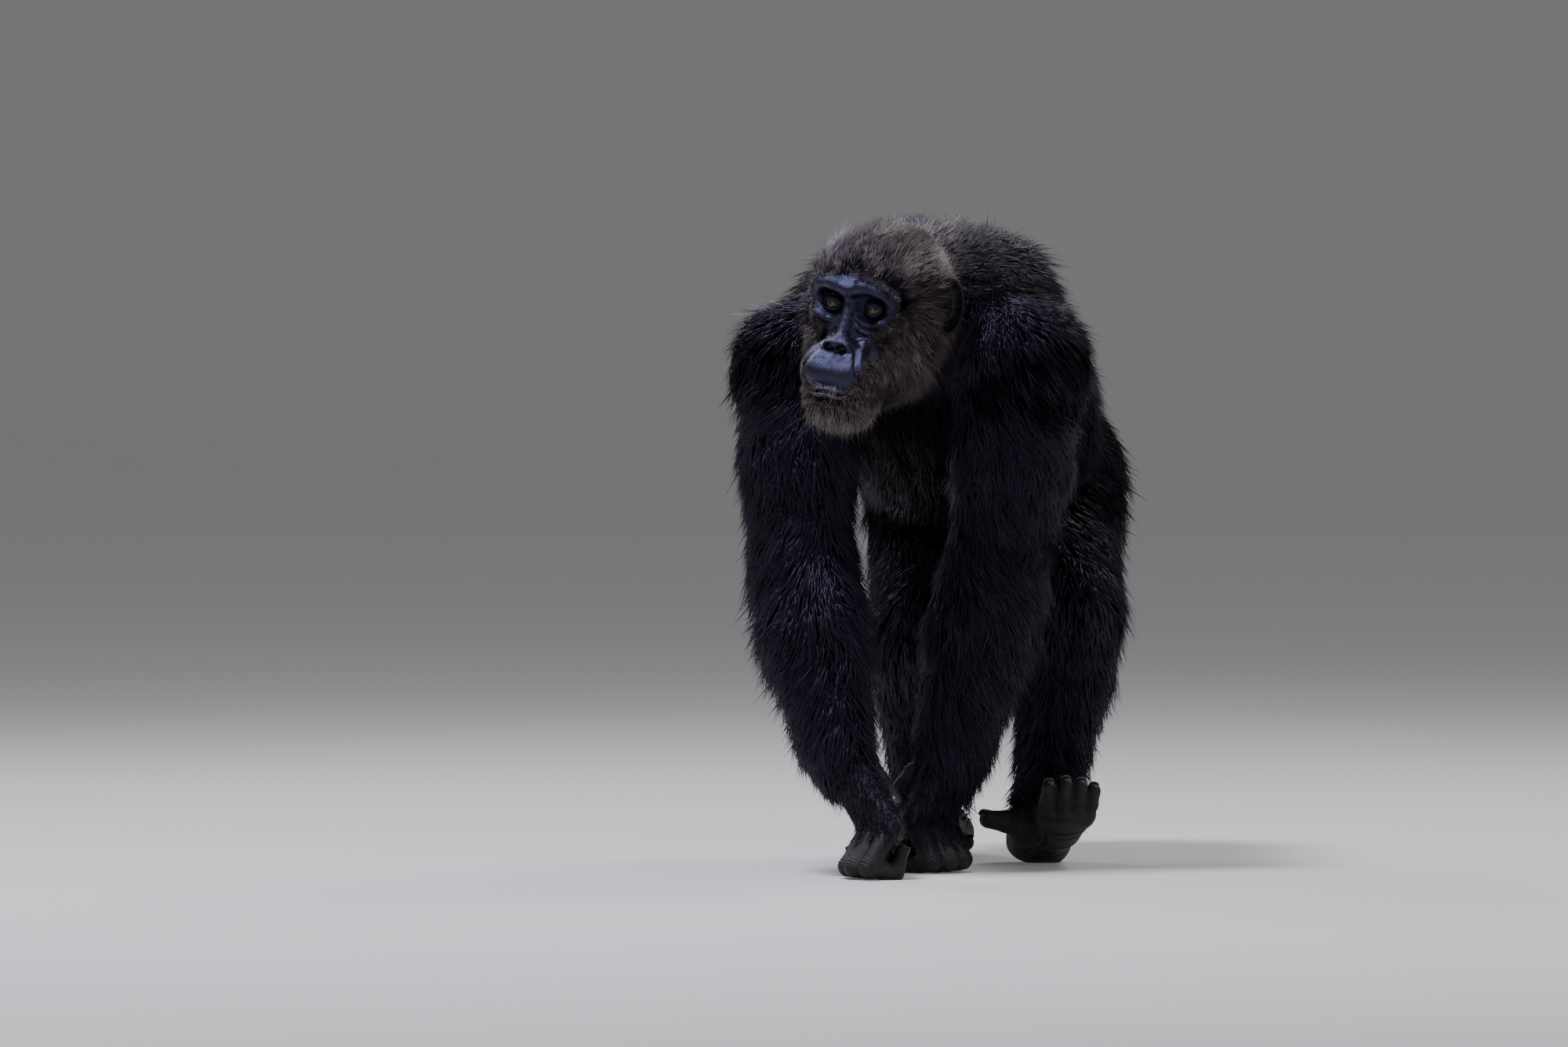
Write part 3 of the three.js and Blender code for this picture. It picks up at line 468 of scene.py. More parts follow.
def piece_from(name: str, surface: Surface, values: dict[str, Array]) -> Object:
    """A Blender object from a mesh in the maker's frame.

    Args:
        name: the piece's name.
        surface: its mesh, in mm.
        values: numbers at the mesh's points, by attribute name.

    Returns:
        The object, linked to the scene, smooth shaded, in metres in the row frame.
    """
    mesh = bpy.data.meshes.new(name)
    points = ((surface.points + ROW_SHIFT) * MM).astype(np.float32)
    count = len(surface.triangles)
    mesh.vertices.add(len(points))
    mesh.vertices.foreach_set("co", points.ravel())
    mesh.loops.add(count * 3)
    mesh.loops.foreach_set("vertex_index", surface.triangles.astype(np.int32).ravel())
    mesh.polygons.add(count)
    mesh.polygons.foreach_set("loop_start", np.arange(0, count * 3, 3, dtype=np.int32))
    mesh.polygons.foreach_set("use_smooth", np.ones(count, bool))
    for key, value in values.items():
        attribute = mesh.attributes.new(key, "FLOAT", "POINT")
        attribute.data.foreach_set("value", value.astype(np.float32))
    mesh.update()
    mesh.validate()
    made = bpy.data.objects.new(name, mesh)
    bpy.context.scene.collection.objects.link(made)
    log.info("%s: %d triangles", name, count)
    return made


# ---- Shader maths ----


class Value:
    """A shader socket that carries one number, so that node maths reads as arithmetic."""

    def __init__(self, shader: "Shader", socket: Socket) -> None:
        """Wraps a socket of a shader."""
        self.shader = shader
        self.socket = socket

    def __add__(self, other: "Value | float") -> "Value":
        """Sum."""
        return self.shader.maths("ADD", self, other)

    __radd__ = __add__

    def __sub__(self, other: "Value | float") -> "Value":
        """Difference."""
        return self.shader.maths("SUBTRACT", self, other)

    def __rsub__(self, other: "Value | float") -> "Value":
        """Difference the other way round."""
        return self.shader.maths("SUBTRACT", other, self)

    def __mul__(self, other: "Value | float") -> "Value":
        """Product."""
        return self.shader.maths("MULTIPLY", self, other)

    __rmul__ = __mul__

    def step(self, low: float, high: float) -> "Value":
        """A smooth step of the value from 0 at low to 1 at high.

        Args:
            low: where it is 0.
            high: where it is 1.

        Returns:
            The step as a value.
        """
        settings = {"interpolation_type": "SMOOTHSTEP"}
        inputs = {"Value": self, "From Min": low, "From Max": high}
        return self.shader.value(self.shader.node("ShaderNodeMapRange", settings, inputs))


class Shader:
    """A material and the nodes that it is made of."""

    def __init__(self, name: str) -> None:
        """Starts an empty material.

        Args:
            name: the material's name.
        """
        self.material = bpy.data.materials.new(name)
        self.material.use_nodes = True
        self.tree = self.material.node_tree
        self.tree.nodes.clear()

    def node(self, kind: str, settings: dict | None = None, inputs: dict | None = None) -> Node:
        """Adds a node.

        Args:
            kind: the node's type.
            settings: its own settings, which are set first.
            inputs: values or links of its sockets, by name or number.

        Returns:
            The node.
        """
        made = self.tree.nodes.new(kind)
        for key, value in (settings or {}).items():
            setattr(made, key, value)
        for key, value in (inputs or {}).items():
            socket = made.inputs[key]
            if isinstance(value, Value):
                self.tree.links.new(value.socket, socket)
            elif isinstance(value, Socket):
                self.tree.links.new(value, socket)
            else:
                socket.default_value = value
        return made

    def value(self, node: Node, output: int | str = 0) -> Value:
        """A node's output as a Value."""
        return Value(self, node.outputs[output])

    def maths(self, operation: str, *inputs: "Value | float") -> Value:
        """One step of arithmetic on numbers."""
        made = self.node("ShaderNodeMath", {"operation": operation}, dict(enumerate(inputs)))
        return self.value(made)

    def attribute(self, name: str) -> Value:
        """A number that the mesh carries at its points."""
        return self.value(self.node("ShaderNodeAttribute", {"attribute_name": name}), "Fac")

    def place(self) -> Socket:
        """The point's place in the object's own frame."""
        return self.node("ShaderNodeTexCoord").outputs["Object"]

    def noise(self, scale: float, detail: float = 3.0, rough: float = 0.5) -> Value:
        """Clouded noise over the object, from 0 to 1."""
        inputs = {"Vector": self.place(), "Scale": scale, "Detail": detail, "Roughness": rough}
        return self.value(self.node("ShaderNodeTexNoise", None, inputs))

    def cells(self, scale: float) -> Value:
        """Distance to the nearest of scattered cells."""
        inputs = {"Vector": self.place(), "Scale": scale}
        return self.value(self.node("ShaderNodeTexVoronoi", None, inputs), "Distance")

    def mix(self, share: "Value | float", low: object, high: object) -> Socket:
        """A colour between two colours."""
        inputs = {0: share, 6: self.colour(low), 7: self.colour(high)}
        return self.node("ShaderNodeMix", {"data_type": "RGBA"}, inputs).outputs[2]

    @staticmethod
    def colour(value: object) -> object:
        """A colour with its alpha, or a link as it is."""
        return (*value, 1.0) if isinstance(value, tuple) else value

    def bump(self, height: Value, distance: float, strength: float = 1.0) -> Socket:
        """A normal that follows a height, with the height's reach in metres."""
        inputs = {"Height": height, "Distance": distance, "Strength": strength}
        return self.node("ShaderNodeBump", None, inputs).outputs[0]

    def finish(self, inputs: dict) -> Material:
        """Ends the material in a Principled shader with those inputs.

        Args:
            inputs: values or links of its sockets, by name.

        Returns:
            The material.
        """
        shader = self.node("ShaderNodeBsdfPrincipled", None, inputs)
        self.node("ShaderNodeOutputMaterial", None, {"Surface": shader.outputs[0]})
        return self.material


Colour = tuple[float, float, float]


@dataclass(frozen=True)
class CoatFinish:
    """Hair: near black with a violet sheen, browner and greyer about the head; brighter tufts and
    locks carry painted highlights.
    """

    black: Colour = (0.0014, 0.0012, 0.0018)
    black_tip: Colour = (0.0060, 0.0044, 0.0080)
    brown: Colour = (0.0060, 0.0042, 0.0036)
    brown_tip: Colour = (0.072, 0.053, 0.044)
    pale: Colour = (0.040, 0.031, 0.024)
    pale_tip: Colour = (0.33, 0.285, 0.225)
    # painted highlight colours, taken by the brighter tufts and locks
    light_black: Colour = (0.026, 0.020, 0.030)
    light_brown: Colour = (0.210, 0.172, 0.145)
    shine: float = 0.32
    name: str = "coat_hair"
    roughness: float = 0.36

    def material(self) -> Material:
        """Builds the material. Tufts carry tip, shade, brown and pale at their points; shade, a
        random brightness per tuft and lock, also paints highlights on them.

        Returns:
            The material.
        """
        s = Shader(self.name)
        tip = s.attribute("tip")
        shade = s.attribute("shade")
        streak = s.noise(420.0, 2.0)
        # Darker toward the root and lighter toward the tip: partly the hair's own tone, partly
        # painted shade deep in the coat.
        along = (tip * 0.75 + streak * 0.25).step(0.15, 0.95)
        dark = s.mix(along, self.black, self.black_tip)
        brown = s.mix(along, self.brown, self.brown_tip)
        pale = s.mix(along, self.pale, self.pale_tip)
        base = s.mix(s.attribute("brown"), dark, brown)
        base = s.mix(s.attribute("pale"), base, pale)
        light = s.mix(s.attribute("brown"), self.light_black, self.light_brown)
        # Painted highlights: brighter tufts and locks are mixed toward the highlight colours, most
        # toward their tips.
        with_painted_highlights = s.mix((shade * along * 1.9).step(0.05, 1.0), base, light)
        rough = self.roughness + 0.16 * shade + 0.10 * (streak - 0.5)
        height = streak * 0.6 + s.noise(1500.0, 1.0) * 0.4
        return s.finish({
            "Base Color": with_painted_highlights,
            "Roughness": rough,
            "Normal": s.bump(height, 0.0004, 0.5),
            "Specular IOR Level": self.shine,
            "Specular Tint": (0.70, 0.58, 1.0, 1.0),
        })


@dataclass(frozen=True)
class HideFinish:
    """Skin: glossy and near black on the face, leathery on hands and feet, dull under the coat."""

    face: Colour = (0.0048, 0.0042, 0.0066)
    face_worn: Colour = (0.0135, 0.0105, 0.0140)
    paw: Colour = (0.0060, 0.0044, 0.0040)
    paw_worn: Colour = (0.025, 0.018, 0.015)
    under: Colour = (0.0028, 0.0024, 0.0032)
    brown: Colour = (0.0100, 0.0070, 0.0058)
    pale: Colour = (0.060, 0.048, 0.038)
    lip: Colour = (0.052, 0.027, 0.021)
    gloss: Colour = (0.94, 0.90, 1.0)
    shine: float = 0.10
    name: str = "skin_hide"

    def material(self) -> Material:
        """Builds the material. The skin carries face, paw, brown, pale and lip at its points.

        Returns:
            The material.
        """
        s = Shader(self.name)
        face, paw, lip = s.attribute("face"), s.attribute("paw"), s.attribute("lip")
        clouds = s.noise(45.0, 4.0, 0.6)
        pores = s.cells(900.0)
        creases = s.noise(260.0, 6.0, 0.72)
        fine = s.noise(700.0, 3.0, 0.6)
        worn = (clouds * 0.7 + fine * 0.3).step(0.42, 0.68)
        covered = s.mix(s.attribute("brown"), self.under, self.brown)
        covered = s.mix(s.attribute("pale"), covered, self.pale)
        base = s.mix(face, covered, s.mix(worn, self.face, self.face_worn))
        base = s.mix(paw, base, s.mix(worn, self.paw, self.paw_worn))
        base = s.mix(lip, base, self.lip)
        dull = 0.74 - 0.45 * face - 0.18 * paw
        rough = dull + 0.14 * (fine - 0.5) + 0.10 * (worn - 0.5)
        height = creases * 0.9 + pores * 0.25 + fine * 0.3
        return s.finish({
            "Base Color": base,
            "Roughness": rough,
            "Normal": s.bump(height, 0.0014, 0.7),
            "Specular IOR Level": self.shine,
            "Specular Tint": (*self.gloss, 1.0),
        })


@dataclass(frozen=True)
class EyeFinish:
    """Eye: amber-brown iris, black pupil and dark brown white, wet all over."""

    pupil: Colour = (0.002, 0.002, 0.002)
    iris: Colour = (0.110, 0.052, 0.016)
    iris_rim: Colour = (0.012, 0.006, 0.003)
    white: Colour = (0.0150, 0.0090, 0.0070)
    white_edge: Colour = (0.060, 0.042, 0.036)

    def material(self) -> Material:
        """Builds the material. The ball carries ring, the angle from the pupil in degrees.

        Returns:
            The material.
        """
        s = Shader("eye_ball")
        ring = s.attribute("ring")
        threads = s.noise(1900.0, 2.0)
        veins = s.noise(600.0, 4.0, 0.7)
        iris = s.mix((threads * 0.8 + ring * 0.012).step(0.45, 1.05), self.iris, self.iris_rim)
        base = s.mix(ring.step(12.0, 14.5), self.pupil, iris)
        base = s.mix(ring.step(24.0, 28.5), base, self.iris_rim)
        white = s.mix((ring * 0.02 + veins * 0.4).step(1.0, 1.9), self.white, self.white_edge)
        base = s.mix(ring.step(28.5, 33.0), base, white)
        return s.finish({
            "Base Color": base,
            "Roughness": 0.30 + 0.08 * veins,
            "Normal": s.bump(veins, 0.0001, 0.25),
            "Specular IOR Level": 0.12,
            "Coat Weight": 0.70,
            "Coat Roughness": 0.03,
        })


@dataclass(frozen=True)
class NailFinish:
    """Nail: dark horn with fine ridges and a worn, paler edge."""

    horn: Colour = (0.012, 0.009, 0.008)
    worn: Colour = (0.038, 0.030, 0.025)

    def material(self) -> Material:
        """Builds the material. The nail carries tip, its share of the way to the free edge.

        Returns:
            The material.
        """
        s = Shader("nail_horn")
        ridges = s.noise(1300.0, 2.0)
        edge = (s.attribute("tip") * 0.8 + ridges * 0.3).step(0.6, 1.1)
        return s.finish({
            "Base Color": s.mix(edge, self.horn, self.worn),
            "Roughness": 0.30 + 0.25 * edge + 0.1 * ridges,
            "Normal": s.bump(ridges, 0.0003, 0.6),
            "Specular IOR Level": 0.55,
        })


@dataclass(frozen=True)
class FloorFinish:
    """Studio floor: plain, pale and matt."""

    pale: Colour = (0.43, 0.425, 0.415)
    paler: Colour = (0.47, 0.465, 0.455)

    def material(self) -> Material:
        """Builds the material.

        Returns:
            The material.
        """
        s = Shader("studio_floor")
        grain = s.noise(60.0, 4.0, 0.6)
        return s.finish({
            "Base Color": s.mix(grain, self.pale, self.paler),
            "Roughness": 0.72 + 0.1 * grain,
            "Normal": s.bump(grain, 0.0005, 0.15),
            "Emission Color": (1.0, 1.0, 1.0, 1.0),
            "Emission Strength": 0.08,
        })


# ---- The animal's forms ----


@dataclass
class Joints:
    """Middles of the limbs' joints on one side."""

    shoulder: Array
    elbow: Array
    wrist: Array
    knuckles: Array
    hip: Array
    knee: Array
    ankle: Array


JOINTS = {
    Side.LEFT: Joints(
        shoulder=vec(152, -178, 640), elbow=vec(100, -118, 392), wrist=vec(49, -150, 156),
        knuckles=vec(22, -166, 66), hip=vec(78, 250, 478), knee=vec(150, 65, 320),
        ankle=vec(117, 88, 96),
    ),
    Side.RIGHT: Joints(
        shoulder=vec(-152, -182, 640), elbow=vec(-130, -225, 382), wrist=vec(-62, -312, 156),
        knuckles=vec(-2, -336, 66), hip=vec(-58, 250, 478), knee=vec(-48, 85, 285),
        ankle=vec(-80, 240, 90),
    ),
}


@dataclass
class Hair:
    """The hair of one region: a tuft's length and width, and how strongly tufts gather in locks."""

    length: float
    width: float
    gather: float = 0.62


@dataclass
class Region:
    """A part of the body with its own form, lie of the hair and hair."""

    name: str
    shape: object
    lie: Lie
    hair: Hair
    axis: tuple[Array, Array]
    join: float  # width of the fillet where it meets the rest

    def box(self) -> tuple[Array, Array]:
        """Lowest and highest corner of its form."""
        return self.shape.box()


def steady(x: float, y: float, z: float) -> Lie:
    """A lie of the hair that is the same all over."""
    return lambda p, n: np.broadcast_to(vec(x, y, z), p.shape).copy()


@dataclass
class Trunk:
    """Trunk: narrow between the arms and wide at the belly, with shoulder girdle and haunches."""

    girdle_half: float = 60
    girdle_place: tuple[float, float] = (-72, 706)
    girdle_radius: float = 88
    girdle_coat: float = 28
    haunch_mid: float = 15

    def region(self) -> Region:
        """The trunk's form and hair.

        Returns:
            The region.
        """
        y, z = self.girdle_place
        left, right = vec(self.girdle_half, y, z), vec(-self.girdle_half, y, z)
        members = [
            Bar(right, left, self.girdle_radius, self.girdle_radius, self.girdle_coat),
            Ball(vec(0, -112, 645), vec(96, 104, 122), 14),
            Ball(vec(0, -5, 622), vec(141, 140, 148), 22),
            Ball(vec(4, 108, 575), vec(158, 150, 134), 22),
            Ball(vec(self.haunch_mid, 235, 530), vec(122, 112, 110), 20),
        ]
        for side in Side:
            j, s = JOINTS[side], side.value
            members.append(Bar(vec(s * 78, -112, 668), j.shoulder, 70, 61, 22))
            members.append(Ball(vec(self.haunch_mid + s * 52, 285, 482), vec(68, 78, 84), 18))
            members.append(Bar(j.hip, between(j.hip, j.knee, 0.25), 80, 76, 20))
        axis = (vec(0, -140, 660), vec(self.haunch_mid, 330, 530))
        return Region("trunk", blended(50, *members), self.lie, Hair(66, 3.3), axis, 36)

    def lie(self, p: Array, n: Array) -> Array:
        """Backwards on the back, hanging on the flanks, outwards and down over the shoulders.

        Args:
            p: points, one a row.
            n: the way out at each point.

        Returns:
            One direction a row.
        """
        side = np.abs(n[:, 0])
        drop = 0.35 + 0.9 * side + 1.2 * smooth(0.1, 0.7, -n[:, 1])
        back = ways(0.2 * n[:, 0], 1.0, -drop)
        shoulder = ways(0.7 * np.sign(p[:, 0]), 0.35, -1.0)
        on_shoulder = smooth(70, 130, np.abs(p[:, 0])) * smooth(-60, -130, p[:, 1])
        return back + (shoulder - back) * on_shoulder[:, None]


@dataclass
class Neck:
    """Neck: from between the shoulders to the base of the skull."""

    start: Array = field(default_factory=lambda: vec(0, -140, 722))
    end: Array = field(default_factory=lambda: vec(-8, -262, 706))

    def region(self) -> Region:
        """The neck's form and hair."""
        shape = blended(20, Bar(self.start, self.end, 88, 58, 16))
        return Region("neck", shape, self.lie, Hair(50, 2.7), (self.start, self.end), 40)

    def lie(self, p: Array, n: Array) -> Array:
        """Backwards over the nape and down the throat's sides."""
        return ways(0.4 * n[:, 0], 1.0, -0.4 - 0.8 * np.abs(n[:, 0]))


@dataclass
class Arm:
    """One arm with its hand, which stands on its knuckles."""

    side: Side
    top: float = 55
    middle: float = 53
    elbow: float = 45
    belly: float = 49
    wrist: float = 31
    coat: float = 24
    long_coat: float = 34
    wrist_coat: float = 18
    finger_spacing: float = 21
    finger_forward: float = 36
    finger_back: float = 38
    finger_reach: tuple[float, ...] = (-3, 3, 2, -6)
    finger_radii: tuple[float, ...] = (12.5, 12.5, 11.5, 10.5, 8.5)
    thumb_radii: tuple[float, ...] = (15, 11, 8.5)

    def __post_init__(self) -> None:
        """Finds the hand's own directions."""
        turn = math.radians(62 if self.side is Side.LEFT else -50)
        s = self.side.value
        self.joints = JOINTS[self.side]
        self.forward = vec(math.sin(turn), -math.cos(turn), 0)
        self.inner = vec(-s * math.cos(turn), -s * math.sin(turn), 0)

    def fingers(self) -> list[list[Array]]:
        """The joints of each finger, from knuckle to tip, index finger first.

        Returns:
            Five points for each of four fingers.
        """
        made = []
        for i, reach in enumerate(self.finger_reach):
            knuckle = self.joints.knuckles + self.inner * ((1.5 - i) * self.finger_spacing)
            knuckle = knuckle + self.forward * (reach * 0.5)
            middle = knuckle + self.forward * (self.finger_forward + reach)
            middle[2] = 16
            end = middle - self.forward * self.finger_back
            end[2] = 9
            halfway = between(middle, end, 0.5)
            tip = end - self.forward * 9
            tip[2] = 36
            made.append([knuckle, middle, halfway, end, tip])
        return made

    def thumb(self) -> list[Array]:
        """The thumb's joints.

        Returns:
            Three points.
        """
        if self.side is Side.LEFT:
            return [vec(22, -158, 138), vec(2, -168, 128), vec(-20, -172, 104)]
        return [vec(-32, -322, 140), vec(-4, -334, 126), vec(18, -340, 98)]

    def regions(self) -> list[Region]:
        """Forms and hair of upper arm, forearm and hand.

        Returns:
            The three regions.
        """
        j, s = self.joints, self.side.value
        halfway = between(j.shoulder, j.elbow, 0.5)
        belly = between(j.elbow, j.wrist, 0.32)
        upper = blended(
            24,
            Bar(j.shoulder, halfway, self.top, self.middle, self.coat),
            Bar(halfway, j.elbow, self.middle, self.elbow, self.coat, self.long_coat),
        )
        lower = blended(
            20,
            Bar(j.elbow, belly, self.elbow, self.belly, self.long_coat),
            Bar(belly, j.wrist, self.belly, self.wrist, self.long_coat, self.wrist_coat),
        )
        bones = []
        for i, joints in enumerate(self.fingers()):
            carpal = j.wrist + self.inner * ((1.5 - i) * 9)
            bones.append(Bar(carpal, joints[0], 21, 15, 4, 1))
        palm = blended(14, *bones)
        digits = [self.digit(joints, self.finger_radii) for joints in self.fingers()]
        digits.append(self.digit(self.thumb(), self.thumb_radii))
        hand = blended(4, palm, *digits)
        label = self.side.label
        down = steady(s * 0.1, 0.15, -1)

        def sweep(p: Array, n: Array) -> Array:
            """Down the forearm, swept out to its outer edge."""
            return ways(s * 0.35 * np.abs(n[:, 1]), 0.1, -1.0)

        return [
            Region(f"upper_arm_{label}", upper, down, Hair(66, 3.1), (j.shoulder, j.elbow), 30),
            Region(f"forearm_{label}", lower, sweep, Hair(68, 2.9), (j.elbow, j.wrist), 18),
            Region(f"hand_{label}", hand, down, Hair(21, 1.8, 0.4), (j.wrist, j.knuckles), 9),
        ]

    @staticmethod
    def digit(joints: Sequence[Array], radii: Sequence[float]) -> Blend:
        """A finger or thumb through its joints.

        Args:
            joints: points from root to tip.
            radii: radii evenly spaced along it.

        Returns:
            Its form.
        """
        places = np.linspace(0, len(radii) - 1, len(joints))
        sizes = np.interp(places, range(len(radii)), radii)
        bars = [
            Bar(a, b, ra, rb)
            for a, b, ra, rb in zip(joints, joints[1:], sizes, sizes[1:])
        ]
        return blended(5, *bars)


@dataclass
class Leg:
    """One leg with its foot. The left foot lands on its heel."""

    side: Side
    top: float = 79
    knee: float = 54
    calf: float = 47
    ankle: float = 31
    coat: float = 22
    shin_coat: float = 23
    ankle_coat: float = 18
    sole: float = -88
    toes: tuple[tuple[float, float, float], ...] = (
        (22, 112, 52), (5, 118, 56), (-12, 115, 52), (-28, 104, 46),
    )  # across, root and length of each

    def __post_init__(self) -> None:
        """Finds the foot's own directions."""
        left = self.side is Side.LEFT
        turn = math.radians(22 if left else -12)
        pitch = math.radians(22 if left else 0)
        self.curl = 20 if left else -3
        s = self.side.value
        self.joints = JOINTS[self.side]
        flat = vec(math.sin(turn), -math.cos(turn), 0)
        self.inner = vec(-s * math.cos(turn), -s * math.sin(turn), 0)
        self.ahead = flat * math.cos(pitch) + vec(0, 0, math.sin(pitch))
        self.up = -flat * math.sin(pitch) + vec(0, 0, math.cos(pitch))

    def at(self, x: float, y: float, z: float) -> Array:
        """A point by its place ahead of, inwards of and above the ankle."""
        return self.joints.ankle + self.ahead * x + self.inner * y + self.up * z

    def toe_joints(self) -> list[list[Array]]:
        """The joints of the four small toes.

        Returns:
            Three points for each toe.
        """
        sole, curl = self.sole, self.curl
        return [
            [
                self.at(root - 8, across, sole + 14),
                self.at(root + length * 0.5, across * 1.12, sole + 15 + curl * 0.3),
                self.at(root + length, across * 1.2, sole + 11 + curl),
            ]
            for across, root, length in self.toes
        ]

    def big_toe(self) -> list[Array]:
        """The joints of the big toe, which stands off like a thumb."""
        z = self.sole + 20
        return [self.at(40, 38, z), self.at(60, 66, z + 2), self.at(75, 92, z)]

    def regions(self) -> list[Region]:
        """Forms and hair of thigh, lower leg and foot.

        Returns:
            The three regions.
        """
        j, at, sole = self.joints, self.at, self.sole
        calf = between(j.knee, j.ankle, 0.3) + vec(0, 12, 0)
        thigh = blended(20, Bar(j.hip, j.knee, self.top, self.knee, self.coat))
        shin = blended(
            22,
            Bar(j.knee, calf, self.knee - 4, self.calf, self.shin_coat),
            Bar(calf, j.ankle, self.calf, self.ankle, self.shin_coat, self.ankle_coat),
        )
        roots = [
            Bar(at(30, across * 0.5, sole + 24), at(root, across, sole + 15), 19, 14)
            for across, root, _ in self.toes
        ]
        body = blended(
            18,
            Bar(at(0, 0, -8), at(-38, 0, sole + 31), 30, 29, 6, 2),
            Bar(at(-38, 0, sole + 29), at(20, -6, sole + 26), 28, 24, 1, 0),
            Bar(at(-30, 28, sole + 27), at(40, 42, sole + 23), 25, 21),
            Bar(at(4, 2, -26), at(78, 6, sole + 28), 31, 20, 5, 2),
            *roots,
            Bar(at(25, 16, sole + 26), at(48, 40, sole + 20), 19, 17),
        )
        digits = [Arm.digit(joints, (12.5, 10.5, 9)) for joints in self.toe_joints()]
        digits.append(Arm.digit(self.big_toe(), (17, 14, 11.5)))
        foot = blended(4, body, *digits)
        label = self.side.label
        thigh_lie, shin_lie = steady(0, 0.2, -1), steady(0, 0.25, -1)
        foot_lie = steady(*(self.ahead - self.up * 0.4))
        sole_point = at(90, 0, sole + 20)
        return [
            Region(f"thigh_{label}", thigh, thigh_lie, Hair(62, 3.3), (j.hip, j.knee), 30),
            Region(f"lower_leg_{label}", shin, shin_lie, Hair(56, 3.0), (j.knee, j.ankle), 20),
            Region(f"foot_{label}", foot, foot_lie, Hair(17, 1.8, 0.4), (j.ankle, sole_point), 11),
        ]


@dataclass(frozen=True)
class Fold:
    """A fold or groove: a line seen flat on, its half width and how far it stands out."""

    points: tuple[tuple[float, float], ...]  # across and up, or ahead and inwards on a sole
    width: float
    height: float
    sides: tuple[int, ...] = (1, -1)

    def distance(self, flat: Array, side: int) -> Array:
        """Distance from the line on one side of the face.

        Args:
            flat: places seen flat on, one a row.
            side: 1 or -1, the side that is asked for.

        Returns:
            Distances in mm.
        """
        nearest = np.full(len(flat), FAR)
        line = np.array(self.points, float) * np.array([side, 1.0])
        for a, b in zip(line, line[1:]):
            t = np.clip((flat - a) @ (b - a) / ((b - a) @ (b - a)), 0.0, 1.0)
            nearest = np.minimum(nearest, np.linalg.norm(flat - a - t[:, None] * (b - a), axis=1))
        return nearest

    def height_at(self, flat: Array) -> Array:
        """How far the line stands out at some places."""
        nearest = np.min([self.distance(flat, side) for side in self.sides], axis=0)
        return self.height * np.exp(-((nearest / self.width) ** 2))


SOLE_FOLDS = tuple(Fold(*row, (1,)) for row in (
    (((2, 36), (20, 22), (46, 16), (78, 20)), 2.4, -2.6),
    (((28, 50), (38, 30), (58, 24)), 1.9, -2.0),
    (((36, 58), (48, 42), (66, 34)), 1.7, -1.8),
    (((84, -30), (80, -8), (88, 20)), 1.9, -2.0),
    (((62, -26), (58, -6), (66, 10)), 1.9, -1.6),
    (((28, -24), (30, -4), (24, 12)), 1.9, -1.4),
    (((4, -20), (8, 0), (2, 18)), 1.7, -1.2),
    (((-18, -20), (-12, 0), (-20, 20)), 1.7, -1.2),
    (((68, -8), (74, -2), (72, 8)), 6.0, 1.4),
    (((-24, 0), (-10, 0)), 10.0, 1.2),
))
MOUTH_LINE = Fold(((0, -100.5), (12, -101), (24, -102.8), (36, -105.5), (43, -108.5)), 1.5, -5.5)
UPPER_LIP = Fold(((0, -97.2), (14, -97.8), (28, -99.8), (40, -104.0)), 2.3, 1.5)
LOWER_LIP = Fold(((0, -105.0), (14, -105.4), (28, -107.0), (38, -109.5)), 2.6, 2.0)
FACE_LINES = (
    MOUTH_LINE,
    UPPER_LIP,
    LOWER_LIP,
    Fold(((-3, 39), (10, 41), (24, 38)), 1.4, -1.1, (1,)),
    Fold(((-5, 43), (10, 45.5), (26, 42)), 1.4, -1.1, (1,)),
    Fold(((-3, 48), (10, 50), (22, 47)), 1.4, -0.9, (1,)),
    Fold(((14, -13), (22, -18.5), (33, -19), (43, -14)), 2.6, 1.6),
    Fold(((12, -15), (20, -24), (34, -25.5), (47, -18)), 1.8, -2.0),
    Fold(((14, -24), (26, -31), (42, -29)), 2.2, 1.2),
    Fold(((15, -28), (28, -35), (44, -32)), 1.6, -1.4),
    Fold(((46, -2), (56, 0)), 1.3, -0.8),
    Fold(((45, -7), (55, -10)), 1.3, -0.8),
    Fold(((9, -6), (11, -20), (17, -34)), 2.0, -1.8),
    Fold(((2, -8), (9, -14)), 1.1, -0.8),
    Fold(((2, -15), (10, -22)), 1.1, -0.8),
    Fold(((3, -23), (11, -29)), 1.1, -0.8),
    Fold(((15, -38), (21, -34), (30, -33)), 1.6, -1.3),
    Fold(((20, -40), (29, -54), (38, -72), (43, -90)), 2.2, -2.4),
    Fold(((25, -42), (34, -54), (43, -72), (48, -88)), 2.4, 1.4),
    Fold(((29, -38), (39, -52), (48, -68)), 1.8, -1.6),
    Fold(((28, -36), (37, -33), (48, -36)), 2.4, 1.8),
    Fold(((0, -55), (0, -68)), 1.6, -1.2),
    Fold(((6, -60), (14, -58), (22, -62)), 1.4, -0.8),
    Fold(((0, 12), (4, 20)), 1.8, -1.0),
)


